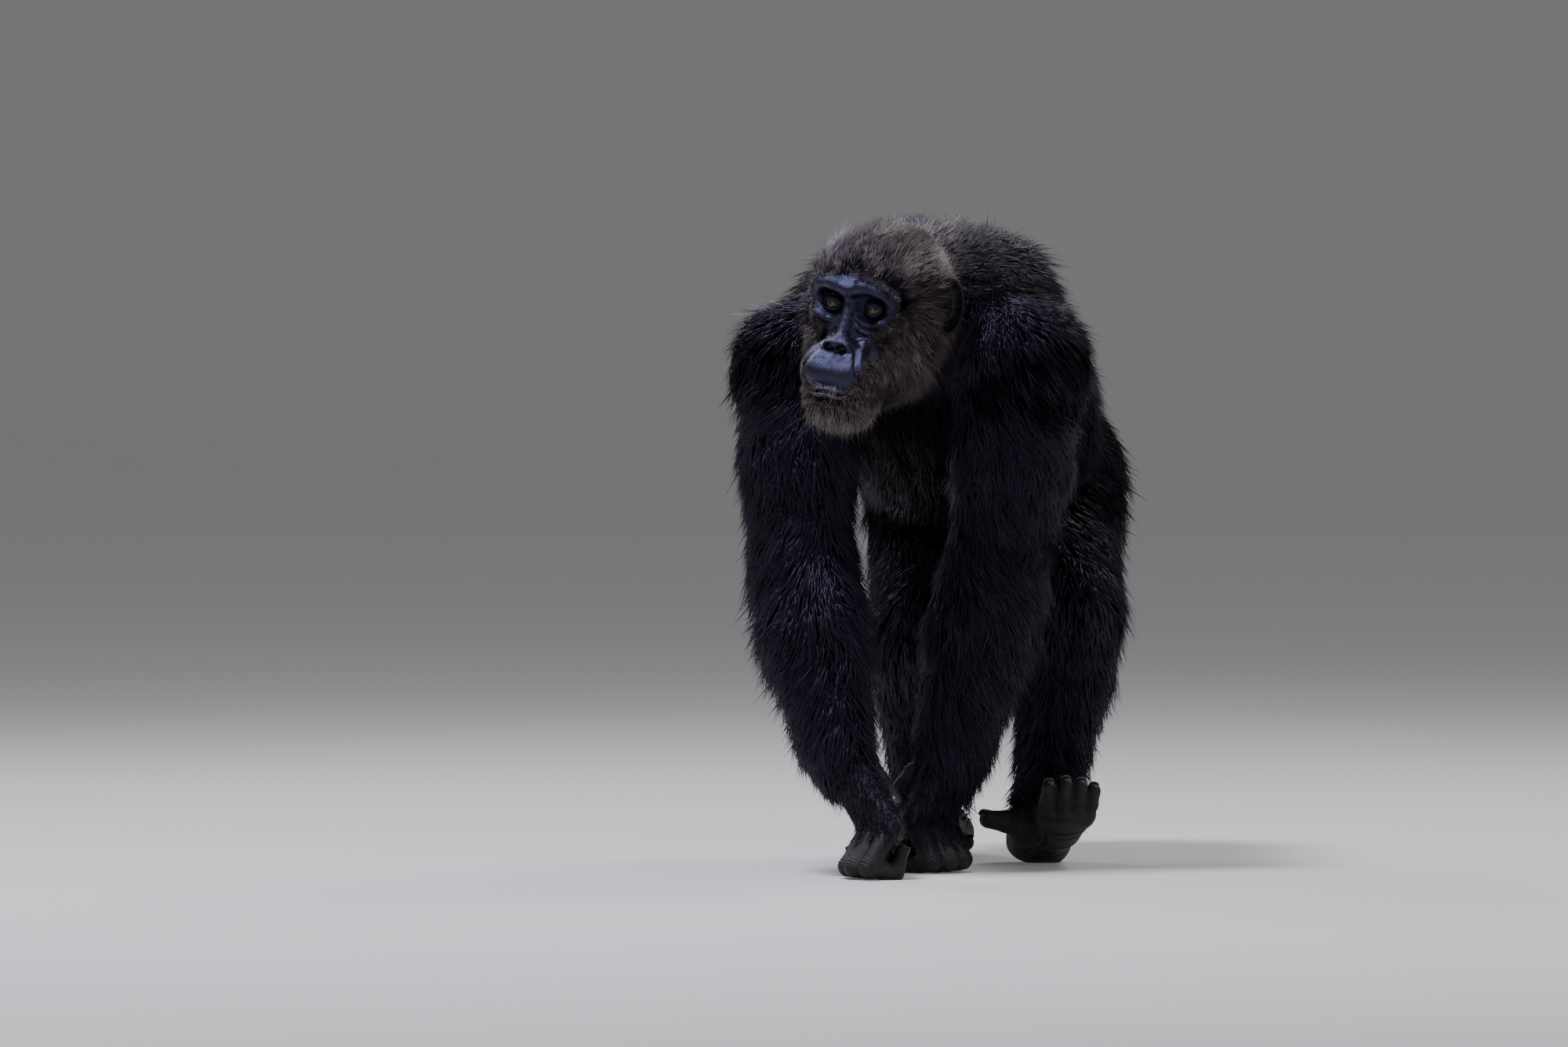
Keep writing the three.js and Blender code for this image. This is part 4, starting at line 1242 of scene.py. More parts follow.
@dataclass
class Head:
    """The head in its own frame: x forwards out of the face, y to the animal's left, z up."""

    eyes_mid: Array = field(default_factory=lambda: vec(-25, -385, 718))
    turn: float = 15
    nod: float = 13
    tilt: float = 10
    tilt_about: float = 14  # azimuth of the line that it tilts about
    eye_radius: float = 12
    eye_spread: float = 29
    eye_depth: float = -6

    def __post_init__(self) -> None:
        """Works out the head's place and builds its forms."""
        away = math.radians(self.tilt_about)
        look = Vector((math.sin(away), -math.cos(away), 0))
        basis = Matrix(((0, 1, 0), (-1, 0, 0), (0, 0, 1)))
        placed = (
            Matrix.Rotation(math.radians(-self.tilt), 3, look)
            @ Matrix.Rotation(math.radians(-self.turn), 3, "Z")
            @ Matrix.Rotation(math.radians(self.nod), 3, "X")
            @ basis
        )
        self.rotation = np.array(placed)
        self.build()

    def to_world(self, p: Array) -> Array:
        """Points of the head's frame in the maker's frame."""
        return p @ self.rotation.T + self.eyes_mid

    def to_head(self, p: Array) -> Array:
        """Points of the maker's frame in the head's frame."""
        return (p - self.eyes_mid) @ self.rotation

    def both(self, make: Callable[[int], object]) -> list:
        """The same thing made on the left and on the right."""
        return [make(1), make(-1)]

    def build(self) -> None:
        """Makes the masses of skull, brow, nose and muzzle."""
        both = self.both
        self.solid = blended(
            16,
            Ball(vec(-84, 0, 22), vec(80, 60, 60), 12),
            Ball(vec(-60, 0, 48), vec(58, 34, 32), 12),
            Ball(vec(-116, 0, -14), vec(46, 58, 54), 16),
            Ball(vec(-36, 0, 28), vec(46, 46, 34), 7),
            Ball(vec(-60, 0, -88), vec(50, 46, 42), 14),
            Ball(vec(-14, 0, -30), vec(30, 38, 42)),
            *both(lambda s: Ball(vec(6, s * 20, -80), vec(47, 34, 36))),
            Ball(vec(12, 0, -120), vec(35, 38, 25), 7),
            *both(lambda s: Bar(vec(-2, s * 45, -16), vec(-56, s * 58, -22), 13, 14, 2, 8)),
            *both(lambda s: Ball(vec(-50, s * 38, -58), vec(42, 23, 46), 13)),
        )
        self.brow = blended(
            8,
            *both(lambda s: Bar(vec(-3, s * 53, 13), vec(8, s * 40, 26), 6.5, 8.0)),
            *both(lambda s: Bar(vec(8, s * 40, 26), vec(14, s * 22, 29), 8.0, 8.5)),
            *both(lambda s: Bar(vec(14, s * 22, 29), vec(13, 0, 23), 8.5, 8.0)),
            *both(lambda s: Bar(vec(-3, s * 53, 13), vec(-9, s * 50, -10), 6.5, 5.0)),
        )
        self.nose = blended(
            8,
            Bar(vec(6, 0, 4), vec(25, 0, -36), 7, 8),
            Ball(vec(34, 0, -42), vec(9, 10, 8)),
            *both(lambda s: Ball(vec(28, s * 13, -45), vec(12, 10, 9))),
        )
        self.lips = blended(
            6,
            *both(lambda s: Ball(vec(32, s * 14, -80), vec(24, 27, 20))),
            Bar(vec(52, 12, -102), vec(52, -12, -102), 5.5, 5.5),
            *both(lambda s: Bar(vec(52, s * 12, -102), vec(33, s * 38, -106), 5.5, 5)),
        )
        self.sockets = both(lambda s: Ball(vec(15, s * self.eye_spread, 2), vec(19, 18, 15.5)))
        self.orbits = both(lambda s: Ball(self.eye(s), vec(1, 1, 1) * (self.eye_radius + 0.9)))
        self.nostrils = both(lambda s: Ball(vec(41, s * 9.5, -48), vec(9.5, 6.6, 6.2)))

    def eye(self, s: int) -> Array:
        """The middle of one eye, in the head's frame."""
        return vec(self.eye_depth, s * self.eye_spread, 0)

    def own(self, p: Array, share: float = 0.0) -> Array:
        """The head's field in its own frame.

        Args:
            p: points, one a row.
            share: share of the coat's depth that is added.

        Returns:
            Distances in mm.
        """
        d = blend(self.solid(p, share), self.brow(p), 12)
        for socket in self.sockets:
            d = carve(d, socket(p), 10)
        d = blend(blend(d, self.nose(p), 9), self.lips(p), 12)
        if share == 0.0:
            for orbit in self.orbits:
                d = carve(d, orbit(p), 2)
            for nostril in self.nostrils:
                d = carve(d, nostril(p), 2)
        return d

    def relief(self, p: Array) -> Array:
        """How far the folds and lines of the face stand out of its surface, in mm.

        Args:
            p: points, one a row.

        Returns:
            One height a row.
        """
        q = self.to_head(p)
        out = np.zeros(len(p))
        front = (q[:, 0] > -40) & (np.abs(q[:, 1]) < 70) & (q[:, 2] < 66) & (q[:, 2] > -130)
        flat = q[front, 1:]
        total = np.zeros(len(flat))
        for line in FACE_LINES:
            total += line.height_at(flat)
        out[front] = total * smooth(-40, -12, q[front, 0])
        return out

    def __call__(self, p: Array, share: float = 0.0) -> Array:
        """The head's field in the maker's frame."""
        return self.own(self.to_head(p), share)

    def reach(self, p: Array) -> Array:
        """Distance from the skull and jaw, worked out only near them."""
        return near_box(self.box(), 60, lambda q: self.solid(self.to_head(q), 0.0), p)

    def box(self) -> tuple[Array, Array]:
        """Lowest and highest corner, in the maker's frame.

        Returns:
            The two corners.
        """
        low, high = self.solid.box()
        corners = np.array([[(low, high)[a][0], (low, high)[b][1], (low, high)[c][2]]
                            for a in (0, 1) for b in (0, 1) for c in (0, 1)])
        placed = self.to_world(corners)
        return placed.min(0), placed.max(0)

    def bare(self, p: Array) -> Array:
        """How bare of hair the face is at some points, from 0 to 1.

        Args:
            p: points, one a row.

        Returns:
            One share a row.
        """
        x, y, z = self.to_head(p).T
        eyes = np.hypot(y / 57, (z - 6) / 34)
        muzzle = np.hypot(y / 40, (z + 58) / 52)
        shown = np.maximum(1 - smooth(0.86, 1.06, eyes), 1 - smooth(0.86, 1.08, muzzle))
        socket = smooth(50, 44, np.abs(y)) * smooth(-46, -38, x)
        return shown * np.maximum(smooth(-26, -10, x), socket)

    def lie(self, p: Array, n: Array) -> Array:
        """Hair radiates back from the brow over the crown, and down and back on cheeks and chin.

        Args:
            p: points, one a row.
            n: the way out at each point; not used.

        Returns:
            One direction a row.
        """
        x, y, z = self.to_head(p).T
        s = np.tanh(y / 14)
        crown = ways(-0.9, 0.5 * y / 60, 0.35 + 0.9 * smooth(-60, 0, x))
        cheek = ways(-0.6, 0.35 * s, -1.0)
        chin = ways(-0.25, 0.3 * y / 40, -1.0)
        low = smooth(18, -26, z)[:, None]
        lie = crown + (cheek - crown) * low
        at_chin = (smooth(-86, -104, z) * smooth(-25, 0, x))[:, None]
        lie = lie + (chin - lie) * at_chin
        return lie @ self.rotation.T

    def region(self) -> Region:
        """The head's form and hair."""
        ends = (self.to_world(vec(-60, 0, 110)), self.to_world(vec(-20, 0, -150)))
        return Region("head", self, self.lie, Hair(30, 2.0, 0.66), ends, 26)


@dataclass
class Markings:
    """Where the coat and the skin under it are brown and where they are pale."""

    head: Head

    def __call__(self, p: Array) -> tuple[Array, Array]:
        """Brown and pale shares at some points, each from 0 to 1.

        Args:
            p: points, one a row.

        Returns:
            Brown, and pale.
        """
        x, y, z = self.head.to_head(p).T
        close = self.head.reach(p)
        near = smooth(30, 6, close)
        brown = near * (0.40 + 0.60 * smooth(30, -60, z)) * smooth(-175, -120, x)
        nape = smooth(-92, -114, x) * smooth(-176, -150, x) * smooth(-60, -10, z)
        nape = nape * smooth(16, 6, close)
        beard = near * smooth(-104, -114, z) * smooth(-12, 12, x)
        jaw = near * smooth(26, 44, np.abs(y)) * smooth(-84, -106, z) * smooth(-30, 8, x)
        temple = near * smooth(34, 50, np.abs(y)) * smooth(-18, -34, x) * smooth(-50, -20, x) * 0.3
        pale = np.maximum.reduce([0.42 * nape, 0.80 * beard, 0.42 * jaw, temple])
        return np.clip(brown, 0, 1), np.clip(pale, 0, 1)


# ---- The whole body ----


class Body:
    """All the regions of the body as one skin."""

    reach: float = 75.0  # how far outside its box a form is still worked out
    step: float = 5.0  # of the skin's grid

    def __init__(self) -> None:
        """Builds each region."""
        self.head = Head()
        self.arms = [Arm(side) for side in Side]
        self.legs = [Leg(side) for side in Side]
        self.regions = [Trunk().region(), Neck().region(), self.head.region()]
        for limb in (*self.arms, *self.legs):
            self.regions.extend(limb.regions())
        self.limbs = [self.regions[3 + 3 * i: 6 + 3 * i] for i in range(4)]

    def near(self, region: Region, p: Array, share: float) -> Array:
        """A region's field, worked out only near its box."""
        return near_box(region.box(), self.reach, lambda q: region.shape(q, share), p)

    def __call__(self, p: Array, share: float = 0.0) -> Array:
        """The whole body's field: each limb is joined along its length, then to the trunk.

        Args:
            p: points, one a row.
            share: share of the coat's depth that is added.

        Returns:
            Distances in mm.
        """
        trunk, neck, head = self.regions[:3]
        total = blend(self.near(trunk, p, share), self.near(neck, p, share), neck.join)
        total = blend(total, self.near(head, p, share), head.join)
        for chain in self.limbs:
            limb = self.near(chain[0], p, share)
            for region in chain[1:]:
                limb = blend(limb, self.near(region, p, share), region.join)
            total = blend(total, limb, chain[0].join)
        return total

    def nearest(self, kinds: tuple[str, ...], p: Array) -> Array:
        """Distance from the nearest region whose name starts in one of some ways."""
        named = [r for r in self.regions if r.name.startswith(kinds)]
        return np.min([self.near(r, p, 0.0) for r in named], axis=0)

    def sample(self, low: Array, high: Array, step: float, share: float) -> Sampled:
        """The body's field on a grid.

        Args:
            low: the grid's lowest corner.
            high: its highest corner.
            step: its step in mm.
            share: share of the coat's depth that is added.

        Returns:
            The sampled field.
        """
        xs, ys, zs = (spread(low[a], high[a], step) for a in range(3))
        values = np.empty((len(xs), len(ys), len(zs)))
        y, z = np.meshgrid(ys, zs, indexing="ij")
        flat = np.stack([np.zeros(y.size), y.ravel(), z.ravel()], axis=1)
        slab = 8
        for i in range(0, len(xs), slab):
            part = np.concatenate([flat + vec(x, 0, 0) for x in xs[i:i + slab]])
            values[i:i + slab] = self(part, share).reshape(-1, len(ys), len(zs))
        return Sampled(values, np.array([xs[0], ys[0], zs[0]]), step)

    def skin(self) -> tuple[Surface, Sampled]:
        """The skin, finer on the face, the hands and the feet, and its sampled field.

        Returns:
            The skin's mesh, and its field.
        """
        sampled = self.sample(*GRID, self.step, 0.0)
        surface = surface_of(sampled.values, sampled.origin, sampled.step)
        surface.points = settle(self, surface.points, 2)

        def on_paws(p: Array) -> Array:
            """True near a hand or a foot."""
            return self.nearest(("hand", "foot"), p) < 3

        def on_face(p: Array, reach: float) -> Array:
            """True on the front of the head."""
            x, y, z = self.head.to_head(p).T
            return (x > reach) & (np.abs(y) < 66) & (z < 62) & (z > -150)

        def on_bare(p: Array, reach: float) -> Array:
            """True on the bare part of the face."""
            return on_face(p, reach) & (self.head.bare(p) > 0.02)

        for wanted in (
            lambda p: on_paws(p) | on_face(p, -36),
            lambda p: on_bare(p, -20) | self.creased(p),
            lambda p: on_bare(p, -10) & self.fine(p),
        ):
            surface = surface.refined(wanted(surface.points))
            surface.points = settle(self, surface.points, 2)
        relief = self.head.relief(surface.points) + self.paw_relief(surface.points)
        surface.points = surface.points + surface.normals() * relief[:, None]
        surface.points[:, 2] = np.maximum(surface.points[:, 2], 0.1)
        return surface, sampled

    def paw_relief(self, p: Array) -> Array:
        """Creases of the digits and folds of the soles.

        Args:
            p: points, one a row.

        Returns:
            One height a row, in mm.
        """
        out = np.zeros(len(p))
        low = np.flatnonzero(p[:, 2] < 150)
        q = p[low]
        nearest = np.full(len(q), 19.0)
        height = np.zeros(len(q))
        for limb in (*self.arms, *self.legs):
            for digit in digits_of(limb):
                place, off = digit.along(q)
                mine = off < nearest
                nearest[mine] = off[mine]
                height[mine] = digit.relief(place[mine])
        for leg in self.legs:
            r = q - leg.joints.ankle
            flat = np.stack([r @ leg.ahead, r @ leg.inner], axis=1)
            under = smooth(leg.sole + 26, leg.sole + 12, r @ leg.up) * (np.abs(r).max(axis=1) < 160)
            height += under * sum(fold.height_at(flat) for fold in SOLE_FOLDS)
        out[low] = height * smooth(0.0, 4.0, q[:, 2])
        return out

    def creased(self, p: Array) -> Array:
        """True near the creases of the digits and on the sole of the left foot, which shows.

        Args:
            p: points, one a row.

        Returns:
            One truth value a row.
        """
        low = np.flatnonzero(p[:, 2] < 150)
        q = p[low]
        leg = self.legs[0]
        r = q - leg.joints.ankle
        hit = (r @ leg.up < leg.sole + 22) & (np.abs(r).max(axis=1) < 160)
        for limb in (*self.arms, *self.legs):
            for digit in digits_of(limb):
                place, off = digit.along(q)
                hit |= (np.abs(place[:, None] - digit.marks()).min(axis=1) < 8) & (off < 15)
        out = np.zeros(len(p), bool)
        out[low] = hit
        return out

    def fine(self, p: Array) -> Array:
        """True round the eyes, the nostrils and the mouth.

        Args:
            p: points, one a row.

        Returns:
            One truth value a row.
        """
        x, y, z = self.head.to_head(p).T
        eyes = np.hypot(np.abs(y) - 29, z) < 27
        nose = (np.abs(y) < 26) & (z < -28) & (z > -60)
        mouth = (np.abs(y) < 50) & (z < -90) & (z > -114)
        return eyes | nose | mouth


# ---- Studio ----


@dataclass(frozen=True)
class Lamp:
    """A soft square light that points at the object: metres and watts."""

    name: str
    place: Point
    aim: Point
    size: float
    power: float
    colour: Colour


LAMPS = (
    Lamp("key", (-1.0, -1.7, 4.3), (0.0, -0.1, 0.5), 0.9, 330.0, (0.84, 0.86, 1.0)),
    Lamp("fill", (3.0, -2.6, 2.2), (0.0, 0.0, 0.45), 1.2, 30.0, (0.86, 0.86, 1.0)),
    Lamp("back", (1.6, 2.6, 3.4), (0.0, 0.1, 0.6), 1.2, 90.0, (1.0, 0.96, 0.90)),
    Lamp("back_left", (-2.4, 1.9, 2.8), (0.0, 0.0, 0.5), 1.1, 60.0, (0.92, 0.90, 1.0)),
    Lamp("catch", (-0.3, -4.6, 1.1), (0.0, -0.4, 0.7), 0.5, 11.0, (1.0, 1.0, 1.0)),
)


@dataclass
class Studio:
    """The camera at the picture's angle, a pale floor and soft lights."""

    azimuth: float = 14.0
    lens: float = 300.0
    camera_height: float = 0.87
    aim: tuple[float, float, float] = (-0.1945, -0.0212, 0.437)
    distance: float = 16.7  # level distance from the aim to the camera
    sensor: float = 36.0
    clip: tuple[float, float] = (0.1, 100.0)
    floor_half: float = 20.0
    floor_front: float = -24.0
    floor_back: float = 20.0
    sweep: float = 3.0  # radius of the curve from floor to wall
    sweep_steps: int = 12
    wall_top: float = 9.0
    sky: tuple[float, ...] = (0.80, 0.82, 0.86, 1.0)
    sky_strength: float = 0.24

    def build(self) -> None:
        """Makes the camera, the floor, the lights and the sky."""
        self.camera()
        self.floor()
        for lamp in LAMPS:
            self.light(lamp)
        world = bpy.data.worlds.new("studio_sky")
        world.use_nodes = True
        background = world.node_tree.nodes["Background"]
        background.inputs["Color"].default_value = self.sky
        background.inputs["Strength"].default_value = self.sky_strength
        bpy.context.scene.world = world

    def camera(self) -> None:
        """Places the camera so that the object stands in the frame as in the picture."""
        a = math.radians(self.azimuth)
        pitch = math.atan2(self.camera_height - self.aim[2], self.distance)
        level = math.cos(pitch)
        ahead = Vector((-math.sin(a) * level, math.cos(a) * level, -math.sin(pitch)))
        made = bpy.data.cameras.new("camera")
        made.lens = self.lens
        made.sensor_width = self.sensor
        made.clip_start, made.clip_end = self.clip
        holder = bpy.data.objects.new("camera", made)
        bpy.context.scene.collection.objects.link(holder)
        reach = self.distance / level
        holder.location = Vector(self.aim) - ahead * reach
        holder.rotation_mode = "QUATERNION"
        holder.rotation_quaternion = ahead.to_track_quat("-Z", "Y")
        bpy.context.scene.camera = holder

    def floor(self) -> None:
        """A broad floor that curves up behind into a wall."""
        half, back, r = self.floor_half, self.floor_back, self.sweep
        profile = [(self.floor_front, 0.0), (back, 0.0)]
        for i in range(1, self.sweep_steps + 1):
            turn = math.pi / 2 * i / self.sweep_steps
            profile.append((back + r * math.sin(turn), r * (1 - math.cos(turn))))
        profile.append((back + r, self.wall_top))
        mesh = bpy.data.meshes.new("studio_floor")
        points = [(x, y, z) for y, z in profile for x in (-half, half)]
        faces = [(2 * i, 2 * i + 1, 2 * i + 3, 2 * i + 2) for i in range(len(profile) - 1)]
        mesh.from_pydata(points, [], faces)
        mesh.polygons.foreach_set("use_smooth", [True] * len(faces))
        mesh.materials.append(FloorFinish().material())
        made = bpy.data.objects.new("studio_floor", mesh)
        bpy.context.scene.collection.objects.link(made)

    @staticmethod
    def light(lamp: Lamp) -> None:
        """Makes one light.

        Args:
            lamp: what the light is.
        """
        made = bpy.data.lights.new(lamp.name, "AREA")
        made.size = lamp.size
        made.energy = lamp.power
        made.color = lamp.colour
        holder = bpy.data.objects.new(lamp.name, made)
        bpy.context.scene.collection.objects.link(holder)
        holder.location = lamp.place
        holder.rotation_mode = "QUATERNION"
        way = Vector(lamp.aim) - Vector(lamp.place)
        holder.rotation_quaternion = way.to_track_quat("-Z", "Y")


# ---- Pieces ----


class Skin:
    """The one skin of the whole body."""

    lid_gloss: float = 0.55  # share of the face's finish on the lids
    ear_paw: float = 0.6  # share of the hands' finish on the back of the ears; their cups stay darker as painted shade
    little: float = 0.02  # share from which a triangle takes the face's or the hands' material

    def __init__(self, body: Body, marks: Markings) -> None:
        """Makes the skin's mesh and what it carries at its points.

        Args:
            body: the whole body.
            marks: where it is brown and pale.
        """
        self.body = body
        self.marks = marks
        self.surface, self.sampled = body.skin()

    def piece(self, hides: Sequence[Material]) -> Object:
        """The skin as a Blender object that stands for the nodes of flesh.

        Args:
            hides: the materials under the coat, on the face and on the hands and feet.

        Returns:
            The object.
        """
        surface = self.surface
        values = self.carried(surface.points)
        for s in (1, -1):
            lid = self.lid(s)
            ear, outside = self.ear(s)
            glossy = np.full(len(lid.points), self.lid_gloss)
            # Only the ear's outside takes the hands' finish; its cup keeps the darker, duller skin
            # as painted shade in the hollow.
            for part, key, added in ((lid, "face", glossy), (ear, "paw", self.ear_paw * outside)):
                surface = surface.joined(part)
                values = {k: np.concatenate([v, added * (k == key)]) for k, v in values.items()}
        made = piece_from("skin", surface, values)
        for hide in hides:
            made.data.materials.append(hide)
        on_face = values["face"][surface.triangles].max(axis=1) > self.little
        on_paw = values["paw"][surface.triangles].max(axis=1) > self.little
        index = np.where(on_face, 1, 2 * on_paw).astype(np.int32)
        made.data.polygons.foreach_set("material_index", index)
        flesh = [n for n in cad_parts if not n.startswith("eye")]
        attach(made, "root")
        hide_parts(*flesh)
        return made

    def carried(self, p: Array) -> dict[str, Array]:
        """What the skin carries: face, paw, brown, pale and lip shares.

        Args:
            p: points, one a row.

        Returns:
            Numbers at the points, by attribute name.
        """
        head, body = self.body.head, self.body
        brown, pale = self.marks(p)
        face = head.bare(p)
        ahead = body.nearest(("forearm", "lower"), p) - body.nearest(("hand", "foot"), p)
        paw = smooth(-4, 10, np.clip(ahead, -20, 20))
        q = head.to_head(p)
        low = LOWER_LIP.height_at(q[:, 1:]) / LOWER_LIP.height
        high = UPPER_LIP.height_at(q[:, 1:]) / UPPER_LIP.height
        lip = np.clip(1.1 * low + 0.45 * high, 0, 1) * smooth(24, 34, q[:, 0])
        face = np.maximum(face, lip)
        return {"face": face, "paw": paw, "brown": brown, "pale": pale, "lip": lip * 0.8}

    def lid(self, s: int) -> Surface:
        """The lids of one eye: a closed ring whose inner edge is the almond opening.

        Args:
            s: 1 on the animal's left, -1 on its right.

        Returns:
            The ring.
        """
        head = self.body.head
        turns = 56
        phi = np.linspace(0, 2 * math.pi, turns, endpoint=False)
        # Cross-section from the sunk inner root, over the rim, to the sunk outer root
        out = np.array([2.2, 1.6, 1.1, 1.0, 1.0, 1.06, 1.25, 1.5, 1.8, 2.1, 2.4, 2.5])
        radius = np.array([12.3, 12.2, 12.2, 12.4, 13.0, 13.6, 14.0, 14.2, 14.0, 13.5, 12.9, 12.5])
        yaw = 54.0 * np.cos(phi) + 2.0
        pitch = np.where(np.sin(phi) > 0, 25.0, 23.0) * np.sin(phi) + 3.0 * np.cos(phi)
        points = []
        for share, r in zip(out, radius):
            a = np.radians(yaw * (1 + (share - 1) * 0.45)) * s
            b = np.radians(pitch * share)
            way = ways(np.cos(a) * np.cos(b), np.sin(a) * np.cos(b), np.sin(b))
            points.append(head.eye(s) + way * r)
        grid = np.array(points).reshape(-1, 3)
        return ring_surface(head.to_world(grid), len(out), turns, s > 0)

    def ear(self, s: int) -> tuple[Surface, Array]:
        """One ear, and how far outside its cup each point is, from 0 to 1.

        The ear is a cupped dish with a rolled rim and an inner fold, on a stalk sunk in the head.

        Args:
            s: 1 on the animal's left, -1 on its right.

        Returns:
            The ear's mesh, and one number a point.
        """
        head = self.body.head
        height, width, depth = 38.0, 24.0, 12.0
        splay = math.radians(-16 * s)
        c, d = math.cos(splay), math.sin(splay)
        spin = np.array([[c, -d, 0], [d, c, 0], [0, 0, 1]])
        dish = Ball(vec(0, 0, 0), vec(width, depth, height))
        hollow = Ball(vec(4, s * 7.0, 1), vec(width - 2.0, depth + 2, height - 4.0))
        stalk = Ball(vec(8, s * -10, -4), vec(16, 20, 20))
        turns = np.linspace(-1.1, 1.5, 6)
        arc = [vec(-9 * math.cos(t), s * -2.0, 19 * math.sin(t) + 2) for t in turns]
        folds = blended(3, *[Bar(a, b, 2.3, 2.3) for a, b in zip(arc, arc[1:])])
        tragus = Ball(vec(17, s * 2.0, -6), vec(5, 5, 7))

        def own(p: Array) -> Array:
            """The ear's field in its own frame."""
            d = carve(blend(dish(p), stalk(p), 4), hollow(p), 4)
            return blend(blend(d, folds(p), 4), tragus(p), 4)

        low, high, step = vec(-34, -36, -44), vec(34, 36, 44), 1.8
        xs, ys, zs = (spread(low[a], high[a], step) for a in range(3))
        grid = np.stack(np.meshgrid(xs, ys, zs, indexing="ij"), axis=-1)
        values = own(grid.reshape(-1, 3)).reshape(grid.shape[:-1])
        made = surface_of(values, low, step)
        made.points = settle(own, made.points, 2)
        # 1 on the ear's outside and 0 in its cup, which is left darker as painted shade.
        outside = 1 - smooth(2.2, 0.6, np.abs(hollow(made.points)))
        moved = (made.points + vec(-width * 0.7, s * 4, 0)) @ spin.T + vec(-92, s * 69, -4)
        return Surface(head.to_world(moved), made.triangles), outside


@dataclass
class Digit:
    """A finger, thumb or toe: its joints, its radii, and the way that its nail faces."""

    joints: list[Array]
    radii: tuple[float, ...]
    nail_up: Array
    creases: ClassVar = ((0.0, -1.5), (-4.2, -0.8), (4.2, -0.8), (-8.0, -0.45), (8.0, -0.45))
    crease_width: ClassVar[float] = 1.3
    nail_rows: ClassVar[int] = 7
    nail_columns: ClassVar[int] = 9

    def along(self, p: Array) -> tuple[Array, Array]:
        """Place along the digit in mm and distance from its middle line.

        Args:
            p: points, one a row.

        Returns:
            The place, and the distance.
        """
        best, place = np.full(len(p), FAR), np.zeros(len(p))
        done = 0.0
        for a, b in zip(self.joints, self.joints[1:]):
            way = b - a
            size = float(np.linalg.norm(way))
            t = np.clip((p - a) @ way / size ** 2, -0.25, 1.25)
            off = np.linalg.norm(p - a - np.clip(t, 0, 1)[:, None] * way, axis=1)
            nearer = off < best
            best[nearer], place[nearer] = off[nearer], done + t[nearer] * size
            done += size
        return place, best

    def marks(self) -> Array:
        """Places of the joints along the digit, without its two ends."""
        bones = zip(self.joints, self.joints[1:])
        return np.cumsum([float(np.linalg.norm(b - a)) for a, b in bones])[:-1]

    def relief(self, place: Array) -> Array:
        """Creases at the joints and fine lines beside them.

        Args:
            place: places along the digit in mm.

        Returns:
            One height a place, in mm.
        """
        out = np.zeros(len(place))
        for mark in self.marks():
            for shift, depth in self.creases:
                out += depth * np.exp(-(((place - mark - shift) / self.crease_width) ** 2))
        return out

    def nail(self) -> Surface:
        """The nail: a curved plate near the digit's end.

        Returns:
            Its closed mesh.
        """
        rows, columns = self.nail_rows, self.nail_columns
        start, end = self.joints[-2], self.joints[-1]
        ahead = unit(end - start)
        up = unit(self.nail_up - ahead * (self.nail_up @ ahead))
        across = np.cross(ahead, up)
        radius = self.radii[-1]
        v, u = np.meshgrid(np.linspace(0, 1, rows), np.linspace(-1, 1, columns), indexing="ij")
        wide = math.radians(52) * (1 - 0.30 * (2 * v - 1) ** 4)
        length = radius * 1.25
        points = []
        for sunk in (0.0, 1.7):
            r = radius + 1.1 - sunk - 0.7 * u ** 4 - 0.9 * (1 - v) ** 3
            place = (v - 0.35) * length
            sideways, upwards = r * np.sin(u * wide), r * np.cos(u * wide)
            points.append(
                end + place[..., None] * ahead
                + sideways[..., None] * across + upwards[..., None] * up
            )
        grid = np.array(points).reshape(-1, 3)
        low = rows * columns
        triangles = []

        def quad(a: int, b: int, c: int, d: int) -> None:
            """Adds two triangles."""
            triangles.extend([(a, b, c), (a, c, d)])

        for i in range(rows - 1):
            for j in range(columns - 1):
                a, b = i * columns + j, i * columns + j + 1
                c, d = b + columns, a + columns
                quad(a, b, c, d)
                quad(low + a, low + d, low + c, low + b)
        for i in range(rows - 1):
            a, d = i * columns, (i + 1) * columns
            quad(a, d, low + d, low + a)
            b, c = a + columns - 1, d + columns - 1
            quad(b, low + b, low + c, c)
        for j in range(columns - 1):
            quad(j, low + j, low + j + 1, j + 1)
            a = (rows - 1) * columns + j
            quad(a, a + 1, low + a + 1, low + a)
        return Surface(grid, np.array(triangles))


def digits_of(limb: "Arm | Leg") -> list[Digit]:
    """The digits of a hand or a foot.

    Args:
        limb: the arm or leg.

    Returns:
        Its five digits.
    """
    if isinstance(limb, Arm):
        made = [Digit(j, limb.finger_radii, -limb.forward) for j in limb.fingers()]
        return made + [Digit(limb.thumb(), limb.thumb_radii, vec(0, -1, 0.1))]
    made = [Digit(j, (12.5, 10.5, 9), limb.up) for j in limb.toe_joints()]
    return made + [Digit(limb.big_toe(), (17, 14, 11.5), limb.up)]


def nails(limb: "Arm | Leg", material: Material) -> Object:
    """The nails of a hand or a foot as one piece.

    Args:
        limb: the arm or leg.
        material: the nails' material.

    Returns:
        The object.
    """
    surface = None
    tips = []
    for digit in digits_of(limb):
        made = digit.nail()
        ladder = np.linspace(0, 1, Digit.nail_rows)
        tips.append(np.tile(np.repeat(ladder, Digit.nail_columns), 2))
        surface = made if surface is None else surface.joined(made)
    kind = "hand" if isinstance(limb, Arm) else "foot"
    piece = piece_from(f"nails_{kind}_{limb.side.label}", surface, {"tip": np.concatenate(tips)})
    piece.data.materials.append(material)
    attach(piece, "root")
    return piece


